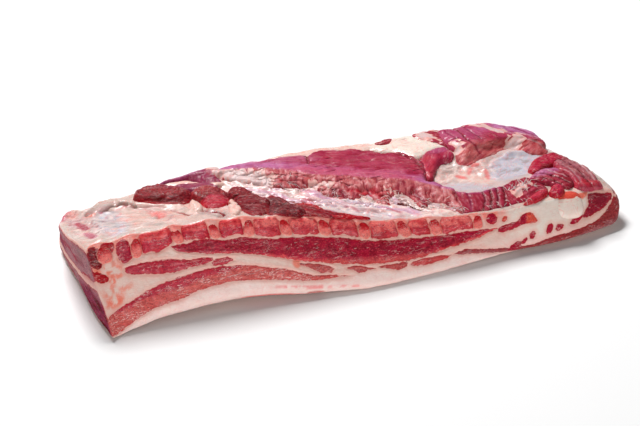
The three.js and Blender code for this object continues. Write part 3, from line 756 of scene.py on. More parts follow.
# fascia torn into shreds: relief in millimetres, colour shares, and the way the shreds run; pale goes on the
# ridges and deep in the hollows, partly painted highlight and painted shade
shredded = [
    {"rise": 1.5, "size": 4.5, "stretch": 3, "angle": -40, "pale": 0.8, "tint": "lilacSheen", "deep": "fringe",
     "oval": (-8, -15, 122, 27, -32)},
    {"rise": 0.6, "size": 4, "stretch": 2, "angle": 30, "pale": 0.7, "tint": "grey", "deep": "blush",
     "oval": (122, 8, 38, 20, 5)},
    {"rise": 0.4, "size": 5, "stretch": 2.5, "angle": 25, "pale": 0.4, "tint": "bluish", "deep": "grey",
     "oval": (184, 10, 44, 18, 28)},
    {"rise": 0.7, "size": 5, "stretch": 2, "angle": -30, "pale": 0.5, "tint": "grey", "deep": "dusty",
     "oval": (-118, -22, 48, 20, -30)},
    {"rise": 0.5, "size": 8, "stretch": 2.4, "angle": -30, "pale": 0.5, "tint": "grey", "deep": "blush",
     "oval": (-204, 8, 56, 42, 0)},
    {"rise": 0.4, "size": 5, "stretch": 1.5, "angle": 60, "pale": 0.4, "tint": "mauve", "deep": "dusty",
     "oval": (-246, 30, 16, 58, 0)},
]


def zonesOn(x, y, zones, colour, wobble):
    for tone, share, soft, oval in zones:
        inside = distanceInOval(oval, x, y) + 0.35 * soft * wobble
        colour = paint(colour, share * ease(inside, -soft, soft * 0.5), tone)
    return colour


def smoothOpen(line, steps=4):  # smooth open curve through a few points
    points = np.asarray(line, float)
    at = np.linspace(0, 1, (len(points) - 1) * steps + 1)
    return np.stack([along(points[:, 0], at), along(points[:, 1], at)], 1)


def nearFold(x, y, width, line):  # 1 on the line, falling away to both sides
    return np.exp(-(distanceToLine(smoothOpen(line), x, y) / width) ** 2)


def foldsOn(x, y, folds):
    return sum((rise * nearFold(x, y, width, line) for rise, width, _, line in folds), np.zeros(x.shape))


# paints each tone along its fold; dark tones along creases are partly painted shade
def foldTonesAndCreaseShade(colour, x, y, folds, share):
    for _, width, tone, line in folds:
        if tone:
            colour = paint(colour, share * nearFold(x, y, width, line), tone)
    return colour


# relief and colour of the four sides
sideShare = np.broadcast_to(side.T[:, :, None], (4, columns, rows))
wallLean, wallLeanTone, wallFatTone, wallFleck, wallBulge = wallFields(wallU, wallV, wallW, sideShare)
wallPoints = skinPoints[:wallCount].reshape(columns, rows, 3)
wallLean = wallLean + sawnRelief["wander"] * clouds(wallPoints, 9, 3)
isFront = sideShare[0]
fibre = wallPoints / [9, 1, 1]
wallRelief = sawnRelief["waves"] * clouds(wallPoints, sawnRelief["waveSize"], 7)
wallRelief += sawnRelief["lean"] * ease(wallLean, -0.5, 1.5)
wallRelief -= sawnRelief["border"] * np.exp(-(wallLean / sawnRelief["borderWidth"]) ** 2)
wallRelief += sawnRelief["fibre"] * noise(fibre, 1.4, 11) * ease(wallLean, 0, 2)
wallRelief += sawnRelief["grit"] * noise(wallPoints, 1.6, 12)
wallRelief += wallBulge
crestRise = 0
for u, half in zip(ribRow["u"], ribRow["halfWidth"]):  # a shallow socket round each rib, its crest higher
    past = (wallU - u) * slab["length"] + ribRow["bumpShift"]
    bump = np.interp(u * 100, *np.transpose(ribRow["bump"]))
    crestRise = crestRise + bump * np.exp(-(past / ribRow["bumpWidth"]) ** 2)
    away = np.abs(wallU - u) * slab["length"] - half
    aboveLow = wallW - curveAt(ribRow["low"], wallU)
    inRow = ease(aboveLow, -0.03, 0.03) * ease(ribRow["top"] + 0.02 - wallW, 0, 0.03)
    wallRelief -= sawnRelief["socket"] * np.exp(-(away / ribRow["socket"]) ** 2) * inRow * isFront
wallMove = plainNormals[:wallCount].reshape(columns, rows, 3) * wallRelief[..., None]
crestRise = crestRise + sawnRelief["crest"] * noise(wallPoints, 7, 15)
wallMove[..., 2] += ease(wallW, 0.86, 1) * isFront * crestRise

# relief and colour of the upper side
topWobble = clouds(topSkin, 12, 21)
topTone = paint(flat(topX.shape, "membrane"), 0.2 * ease(topWobble, -0.6, 0.6), "blush")
topTone = zonesOn(topX, topY, topZones, topTone, topWobble)
# dark tones along the creases: partly painted shade
topTone = foldTonesAndCreaseShade(topTone, topX, topY, topFolds, 0.7 * ease(topWobble, -0.7, 0.3))
topWaves = topRelief["waves"] * clouds(topSkin, topRelief["waveSize"], 23)
topWrinkle = noise(asPlan(topX / 3, topY), topRelief["wrinkleSize"], 25)
topWaves = topWaves + topRelief["wrinkle"] * (1 - 2 * np.abs(topWrinkle))
topWaves = topWaves + foldsOn(topX, topY, topFolds)
liningShare = 1 - layerTop(len(layers) - 2, gridU, gridV)
deepest = topRelief["depth"] * liningShare * topSkin[..., 2]
for number, area in enumerate(shredded):
    ahead, aside = turned(topX, topY, area["angle"])
    drawn = asPlan(ahead / area["stretch"], aside)
    drawn = drawn + 2 * noise(topSkin, 9, 61 + number)[..., None]
    ridges = 1 - 2 * np.abs(clouds(drawn, area["size"], 63 + number))
    tint = clouds(drawn, area["size"] * 1.6, 67 + number)
    share = ease(distanceInOval(area["oval"], topX, topY) + 5 * topWobble, -4, 4)
    topWaves = topWaves + area["rise"] * share * (ridges - 0.5)
    # pale on the ridges and the deep tone in the hollows: partly the shreds' own colours, partly painted
    # highlight and painted shade
    topTone = paint(topTone, area["pale"] * share * ease(ridges, 0.3, 0.9), "pinkFat")
    topTone = paint(topTone, 0.42 * share * ease(tint, 0.05, 0.5), area["tint"])
    topTone = paint(topTone, 0.6 * share * ease(ridges, 0.1, -0.5), area["deep"])
topTone = zonesOn(topX, topY, topMarks, topTone, topWobble)
topWaves = np.maximum(topWaves, -deepest)
underWaves = topRelief["underWaves"] * clouds(underSkin, 30, 27)
sides = [  # mm to each side, and the wall column that is nearest there
    (gridV * slab["width"], borderColumn[:, 0][:, None]),
    ((1 - gridU) * slab["length"], borderColumn[-1][None, :]),
    ((1 - gridV) * slab["width"], borderColumn[:, -1][:, None]),
    (gridU * slab["length"], borderColumn[0][None, :]),
]


def gridMove(index, waves, row):  # own relief inside, the walls' relief at the border
    move = plainNormals[index] * waves[..., None]
    inner = np.ones(waves.shape)
    fromWall, weights = 0, nearly
    for distance, column in sides:
        near = 1 - ease(distance, 0, topRelief["edge"])
        fromWall = fromWall + near[..., None] * wallMove[np.broadcast_to(column, waves.shape), row]
        weights = weights + near
        inner = np.minimum(inner, 1 - near)
    return move * inner[..., None] + fromWall / np.maximum(weights, 1)[..., None]


moved = np.zeros_like(skinPoints)
moved[:wallCount] = wallMove.reshape(-1, 3)
moved[topIndex[innerGrid]] = gridMove(topIndex, topWaves, -1)[innerGrid]
moved[underIndex[innerGrid]] = gridMove(underIndex, underWaves, 0)[innerGrid]
finalPoints = skinPoints + moved
finalPoints[:, 2] = np.maximum(finalPoints[:, 2], 0)
finalNormals = vertexNormals(finalPoints, skinFaces)
topFinal = finalPoints[topIndex]
topNormal = finalNormals[topIndex]

# values carried by every point of the skin
skinCount = len(finalPoints)
skinValues = {"lean": np.full(skinCount, farOutside), "fleck": np.full(skinCount, 0.5),
              "gloss": np.full(skinCount, 0.5)}
skinColours = {"leanTone": flat((skinCount,), "plum"), "fatTone": flat((skinCount,), "rind")}
skinValues["lean"][:wallCount] = wallLean.ravel()
skinValues["fleck"][:wallCount] = wallFleck.ravel()
skinColours["leanTone"][:wallCount] = wallLeanTone.reshape(-1, 3)
skinColours["fatTone"][:wallCount] = wallFatTone.reshape(-1, 3)
skinColours["fatTone"][topIndex[innerGrid]] = topTone[innerGrid]
grain = finalPoints.copy()
onEnds = np.flatnonzero(np.repeat((sideEnd == 1) | isLeftEnd, rows))
grain[onEnds] = grain[onEnds][:, [1, 0, 2]]  # the fibres run across on the short ends
skinVectors = {"grain": grain}
print("skin relief done")


spineLine = {"from": 0.12, "to": 0.88, "points": 40}  # the hidden line along a band's middle


def spineCap(first, border, k, isTop):  # closes a band with triangles from its border to the hidden line
    count = spineLine["points"]
    at = np.linspace(spineLine["from"], spineLine["to"], count)
    spine = place(at, 0.5, layerTop(k, at, np.full(count, 0.5)))
    share = clamp01((colU - at[0]) / (at[-1] - at[0]))
    target = first + np.round(share * (count - 1)).astype(int)
    after, targetAfter = np.roll(border, -1), np.roll(target, -1)
    fans = np.stack([border, after, target], 1)
    steps = np.stack([after, targetAfter, target], 1)[target != targetAfter]
    triangles = np.concatenate([fans, steps])
    return spine, triangles if isTop else triangles[:, ::-1]


def finished(piece, nodeName=None):  # hands a piece to the frame
    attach(piece, "root")
    if nodeName:
        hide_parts(nodeName)


def newGroup(name, inputs):  # inputs: the starting value of each number, beside the grain's coordinates
    tree = bpy.data.node_groups.new(name, "ShaderNodeTree")
    tree.interface.new_socket(name="Grain", in_out="INPUT", socket_type="NodeSocketVector")
    for label, value in inputs.items():
        socket = tree.interface.new_socket(name=label, in_out="INPUT", socket_type="NodeSocketFloat")
        socket.default_value = value
    return tree, tree.nodes.new("NodeGroupInput").outputs


def giveOut(tree, **values):  # the group's named outputs
    for label in values:
        tree.interface.new_socket(name=label, in_out="OUTPUT", socket_type="NodeSocketFloat")
    leave = tree.nodes.new("NodeGroupOutput")
    for label, value in values.items():
        tree.links.new(value, leave.inputs[label])
    return tree


def node(tree, kind, links=None, **settings):
    made = tree.nodes.new(kind)
    for key, value in settings.items():
        if hasattr(made, key):
            setattr(made, key, value)
        else:
            made.inputs[key.replace("_", " ")].default_value = value
    for key, source in (links or {}).items():
        tree.links.new(source, made.inputs[key])
    return made


def feed(tree, value, socket):  # a number, a colour or another node's output
    if isinstance(value, (int, float)):
        socket.default_value = value
    elif isinstance(value, (tuple, np.ndarray)):
        socket.default_value = (*value[:3], 1)
    else:
        tree.links.new(value, socket)


def math(tree, operation, *values, clamp=False):
    made = node(tree, "ShaderNodeMath", operation=operation, use_clamp=clamp)
    for value, socket in zip(values, made.inputs):
        feed(tree, value, socket)
    return made.outputs[0]


def smoothRange(tree, value, low, high, toLow=0.0, toHigh=1.0):
    made = node(tree, "ShaderNodeMapRange", {"Value": value}, interpolation_type="SMOOTHSTEP",
                From_Min=low, From_Max=high, To_Min=toLow, To_Max=toHigh)
    return made.outputs["Result"]


def mix(tree, share, a, b, kind="MIX"):
    made = node(tree, "ShaderNodeMix", data_type="RGBA", blend_type=kind)
    colours = [socket for socket in made.inputs if socket.type == "RGBA"]
    for value, socket in zip((share, a, b), (made.inputs["Factor"], *colours)):
        feed(tree, value, socket)
    return next(socket for socket in made.outputs if socket.type == "RGBA")


def stretched(tree, vector, long, wide):  # millimetre coordinates with long or short cells
    made = node(tree, "ShaderNodeVectorMath", {0: vector}, operation="MULTIPLY")
    made.inputs[1].default_value = (1 / long, 1 / wide, 1 / wide)
    return made.outputs[0]


def noiseValue(tree, vector, scale=1.0, detail=2.0, roughness=0.5, distortion=0.0):
    made = node(tree, "ShaderNodeTexNoise", {"Vector": vector}, Scale=scale, Detail=detail,
                Roughness=roughness, Distortion=distortion)
    return made.outputs["Fac"]


def ridgeOf(tree, value):  # 0 where a noise crosses its middle, which draws thin lines
    return math(tree, "ABSOLUTE", math(tree, "SUBTRACT", value, 0.5))


def buildLeanEdge():  # where lean meets fat, roughened
    tree, enter = newGroup("leanEdge", {"Lean": 0, "Wobble": 1})
    coarse = noiseValue(tree, stretched(tree, enter["Grain"], 4, 2.4), detail=3)
    ragged = math(tree, "MULTIPLY", math(tree, "SUBTRACT", coarse, 0.5), 3.2)
    depth = math(tree, "MULTIPLY_ADD", ragged, enter["Wobble"], enter["Lean"])
    mask = smoothRange(tree, depth, -0.3, 0.35)
    rim = math(tree, "MULTIPLY", smoothRange(tree, depth, 2.4, 0.3), mask)
    glow = math(tree, "MULTIPLY", smoothRange(tree, depth, -4.5, 0.2), math(tree, "SUBTRACT", 1.0, mask))
    return giveOut(tree, Mask=mask, Rim=rim, Glow=glow)


def buildFleshGrain():  # streaks along the fibres and pale marbling between them
    tree, enter = newGroup("fleshGrain", {"Length": 6, "Width": 1, "Fleck": 0.5})
    perWidth = math(tree, "DIVIDE", 1.0, enter["Width"])
    scale = node(tree, "ShaderNodeCombineXYZ", {"X": math(tree, "DIVIDE", 1.0, enter["Length"]),
                                               "Y": perWidth, "Z": perWidth})
    grain = node(tree, "ShaderNodeVectorMath", {0: enter["Grain"], 1: scale.outputs[0]}, operation="MULTIPLY")
    grain = grain.outputs[0]
    streak = noiseValue(tree, grain, detail=3, roughness=0.6)
    clump = noiseValue(tree, grain, scale=0.33, detail=3, roughness=0.6)
    veins = noiseValue(tree, grain, scale=0.6, detail=3, roughness=0.62, distortion=0.7)
    line = smoothRange(tree, ridgeOf(tree, veins), 0.028, 0.004)
    patch = smoothRange(tree, noiseValue(tree, grain, scale=0.27, detail=2), 0.46, 0.62)
    speck = smoothRange(tree, noiseValue(tree, grain, scale=0.8, detail=2, roughness=0.7), 0.63, 0.72)
    pale = math(tree, "MAXIMUM", math(tree, "MULTIPLY", line, patch), speck)
    marbling = math(tree, "MULTIPLY", pale, enter["Fleck"], clamp=True)
    speckle = noiseValue(tree, stretched(tree, enter["Grain"], 1.7, 1.1), detail=2, roughness=0.7)
    return giveOut(tree, Streak=streak, Marbling=marbling, Clump=clump, Speckle=speckle)


def buildFatMottle():  # soft pink clouds and fine streaks in fat and membrane
    tree, enter = newGroup("fatMottle", {"Size": 8})
    size = math(tree, "DIVIDE", 1.0, enter["Size"])
    scaled = node(tree, "ShaderNodeVectorMath", {0: enter["Grain"], "Scale": size}, operation="SCALE")
    cloud = noiseValue(tree, scaled.outputs[0], detail=3, roughness=0.55)
    fine = noiseValue(tree, stretched(tree, enter["Grain"], 3.5, 1.1), detail=3, roughness=0.65)
    winding = noiseValue(tree, scaled.outputs[0], scale=0.6, detail=3, roughness=0.6, distortion=1.2)
    vein = smoothRange(tree, ridgeOf(tree, winding), 0.02, 0.003)
    return giveOut(tree, Cloud=cloud, Fine=fine, Vein=vein)


leanEdge, fleshGrain, fatMottle = buildLeanEdge(), buildFleshGrain(), buildFatMottle()

# settings of each flesh material: lengths in millimetres, shares 0 to 1; sheen is the share of a painted
# lilac sheen
fleshKinds = {
    "sawnFlesh": {"sheen": 0.04, "length": 5, "width": 1.5, "wobble": 0.9, "streak": 0.65, "marbling": 0.42,
        "rim": 0.4, "glow": 0.4, "mottle": 9, "pink": 0.25, "vein": 0.12, "speckle": 0.9,
        "roughness": 0.42, "coat": 0.25, "bump": 0.5, "scatter": 0.12, "shine": 0.16},
    "membraneSkin": {"sheen": 0.2, "length": 8, "width": 1.6, "wobble": 0.8, "streak": 0.4, "marbling": 0.3,
        "rim": 0.3, "glow": 0.4, "mottle": 14, "pink": 0.14, "vein": 0.3, "speckle": 0.4,
        "roughness": 0.34, "coat": 0.6, "bump": 0.6, "scatter": 0.15, "shine": 0.18},
    "darkMuscle": {"sheen": 0.03, "length": 3, "width": 1.3, "wobble": 1, "streak": 0.8, "marbling": 0.32,
        "rim": 0.2, "glow": 0.5, "mottle": 6, "pink": 0.4, "vein": 0.2, "speckle": 0.8,
        "roughness": 0.42, "coat": 0.3, "bump": 0.9, "scatter": 0.1, "shine": 0.08},
    "sheetMuscle": {"sheen": 0.14, "length": 16, "width": 1.4, "wobble": 1, "streak": 0.5, "marbling": 0.2,
        "rim": 0.3, "glow": 0.5, "mottle": 8, "pink": 0.4, "vein": 0.2, "speckle": 0.3,
        "roughness": 0.38, "coat": 0.35, "bump": 0.4, "scatter": 0.1, "shine": 0.12},
    "ribBone": {"sheen": 0.03, "length": 1.6, "width": 1.3, "wobble": 0.5, "streak": 0.4, "marbling": 0.4,
        "rim": 0.1, "glow": 0.6, "mottle": 4, "pink": 0.4, "vein": 0.1, "speckle": 0.7,
        "roughness": 0.42, "coat": 0.3, "bump": 0.6, "scatter": 0.1, "shine": 0.14},
}
# the left end is matte, because it is seen at a flat angle
fleshKinds["endFlesh"] = {**fleshKinds["sawnFlesh"], "shine": 0, "coat": 0.12, "roughness": 0.55}

# what all of them share: tints that multiply a tone, and how light enters and leaves the flesh
fleshTints = {"deep": (0.56, 0.24, 0.36), "shade": (0.5, 0.3, 0.45), "pink": (0.93, 0.66, 0.66),
              "pale": (0.95, 0.92, 0.88), "clump": 0.7, "lightSpeckle": 0.6, "paleShare": 0.35}
fleshLight = {"fineGloss": -0.16, "wetGloss": -0.14, "dry": 0.08, "coatRoughness": 0.16,
              "scatterRadius": (1, 0.35, 0.25), "scatterScale": 0.003, "bumpDistance": 0.0006}


def placed(tree, group, links, **settings):  # one of the groups above, with this material's values
    made = node(tree, "ShaderNodeGroup", node_tree=group)
    for key, source in links.items():
        tree.links.new(source, made.inputs[key])
    for key, value in settings.items():
        made.inputs[key].default_value = value
    return made.outputs


def fleshMaterial(name):
    kind, tints, light = fleshKinds[name], fleshTints, fleshLight
    material = bpy.data.materials.new(name)
    material.use_nodes = True
    tree = material.node_tree
    shader = tree.nodes["Principled BSDF"].inputs

    def read(key, output):  # a value that the mesh carries
        return node(tree, "ShaderNodeAttribute", attribute_name=key).outputs[output]

    def times(a, b, clamp=False):
        return math(tree, "MULTIPLY", a, b, clamp=clamp)

    grain, gloss = read("grain", "Vector"), read("gloss", "Fac")
    leanTone, fatTone = read("leanTone", "Color"), read("fatTone", "Color")
    edge = placed(tree, leanEdge, {"Lean": read("lean", "Fac"), "Grain": grain}, Wobble=kind["wobble"])
    flesh = placed(tree, fleshGrain, {"Grain": grain, "Fleck": read("fleck", "Fac")},
                   Length=kind["length"], Width=kind["width"])
    mottle = placed(tree, fatMottle, {"Grain": grain}, Size=kind["mottle"])

    streak = smoothRange(tree, flesh["Streak"], 0.3, 0.72)
    clump = smoothRange(tree, flesh["Clump"], 0.35, 0.68)
    darker = mix(tree, 1.0, leanTone, tints["deep"], "MULTIPLY")
    # a painted lilac sheen, mixed into the clumps by the kind's sheen share
    sheenMix = mix(tree, kind["sheen"], leanTone, linear("lilacSheen"))
    body = mix(tree, times(math(tree, "SUBTRACT", 1.0, streak), kind["streak"]), leanTone, darker)
    body = mix(tree, times(clump, kind["streak"] * tints["clump"]), body, sheenMix)
    # dark speckles in the hollows of the fine bump are painted shade; the salmon ones on its highs are partly
    # a painted highlight
    low = smoothRange(tree, flesh["Speckle"], 0.5, 0.3, 0, kind["speckle"])
    high = smoothRange(tree, flesh["Speckle"], 0.52, 0.72, 0, kind["speckle"] * tints["lightSpeckle"])
    body = mix(tree, low, body, mix(tree, 1.0, body, tints["shade"], "MULTIPLY"))
    body = mix(tree, high, body, linear("salmon"))
    body = mix(tree, times(edge["Rim"], kind["rim"]), body, linear("blood"))
    body = mix(tree, times(flesh["Marbling"], kind["marbling"] / 0.5, clamp=True), body, linear("pinkFat"))

    pinker = mix(tree, 1.0, fatTone, tints["pink"], "MULTIPLY")
    fat = mix(tree, times(smoothRange(tree, mottle["Cloud"], 0.42, 0.72), kind["pink"]), fatTone, pinker)
    paler = mix(tree, tints["paleShare"], fatTone, tints["pale"])
    fat = mix(tree, smoothRange(tree, mottle["Fine"], 0.5, 0.72, 0, 0.7), fat, paler)
    fat = mix(tree, times(mottle["Vein"], kind["vein"]), fat, linear("salmon"))
    fat = mix(tree, times(edge["Glow"], kind["glow"]), fat, linear("shell"))
    tree.links.new(mix(tree, edge["Mask"], fat, body), shader["Base Color"])

    dry = math(tree, "MULTIPLY_ADD", mottle["Fine"], light["fineGloss"], kind["roughness"] + light["dry"])
    tree.links.new(math(tree, "MULTIPLY_ADD", gloss, light["wetGloss"], dry), shader["Roughness"])
    tree.links.new(times(gloss, kind["coat"], clamp=True), shader["Coat Weight"])
    shader["Coat Roughness"].default_value = light["coatRoughness"]
    shader["Specular IOR Level"].default_value = kind["shine"]
    shader["Subsurface Weight"].default_value = kind["scatter"]
    shader["Subsurface Radius"].default_value = light["scatterRadius"]
    shader["Subsurface Scale"].default_value = light["scatterScale"]
    leanHigh = math(tree, "MULTIPLY_ADD", flesh["Speckle"], 0.9, flesh["Streak"])
    height = math(tree, "MULTIPLY_ADD", math(tree, "SUBTRACT", leanHigh, mottle["Fine"]), edge["Mask"],
                  mottle["Fine"])
    bump = node(tree, "ShaderNodeBump", {"Height": height}, Strength=kind["bump"],
                Distance=light["bumpDistance"])
    tree.links.new(bump.outputs["Normal"], shader["Normal"])
    return material


materials = {name: fleshMaterial(name) for name in fleshKinds}
print("materials mixed")


def bandPiece(k, layer):  # a band of the slab, cut from the skin and closed inside
    isLining, isRind = k == len(layers) - 1, k == 0
    bottom, top = rowStart[k], rowStart[k + 1]
    used = [wallIndex[:, bottom:top + 1].ravel()]
    faceSets = [quads(wallLoop[:, bottom:top + 1])]
    caps = []  # whether at the top, the band whose upper face it is, its border
    if isLining:
        used.append(topIndex[innerGrid])
        faceSets.append(quads(topIndex))
    else:
        caps.append((True, k, wallIndex[:, top]))
    if isRind:
        used.append(underIndex[innerGrid])
        faceSets.append(quads(underIndex)[:, ::-1])
    else:
        caps.append((False, k - 1, wallIndex[:, bottom]))
    used = np.concatenate(used)
    number = np.full(skinCount, -1)
    number[used] = np.arange(len(used))
    faceSets = [number[f] for f in faceSets]
    points, normals = finalPoints[used], finalNormals[used]
    for isTop, below, border in caps:
        spine, triangles = spineCap(len(points), number[border], below, isTop)
        points = np.concatenate([points, spine])
        normals = np.concatenate([normals, np.tile([0, 0, 1.0 if isTop else -1.0], (len(spine), 1))])
        faceSets.append(triangles)
    added = len(points) - len(used)
    carried = [{key: np.concatenate([data[used], np.repeat(data[used[:1]], added, 0)])
                for key, data in group.items()} for group in (skinValues, skinColours, skinVectors)]
    material = materials["membraneSkin" if isLining else "sawnFlesh"]
    piece = meshPiece(layer["piece"], points, faceSets, carried, material)
    piece.data.materials.append(materials["endFlesh"])
    onLeftEnd = np.zeros(len(piece.data.polygons), np.int32)
    onLeftEnd[:columns * layer["rows"]] = np.repeat(isLeftEnd, layer["rows"])
    piece.data.polygons.foreach_set("material_index", onLeftEnd)
    piece.data.normals_split_custom_set_from_vertices(normals.astype(float).tolist())
    finished(piece, layer["node"])


for k, layer in enumerate(layers):
    bandPiece(k, layer)
print("bands built")

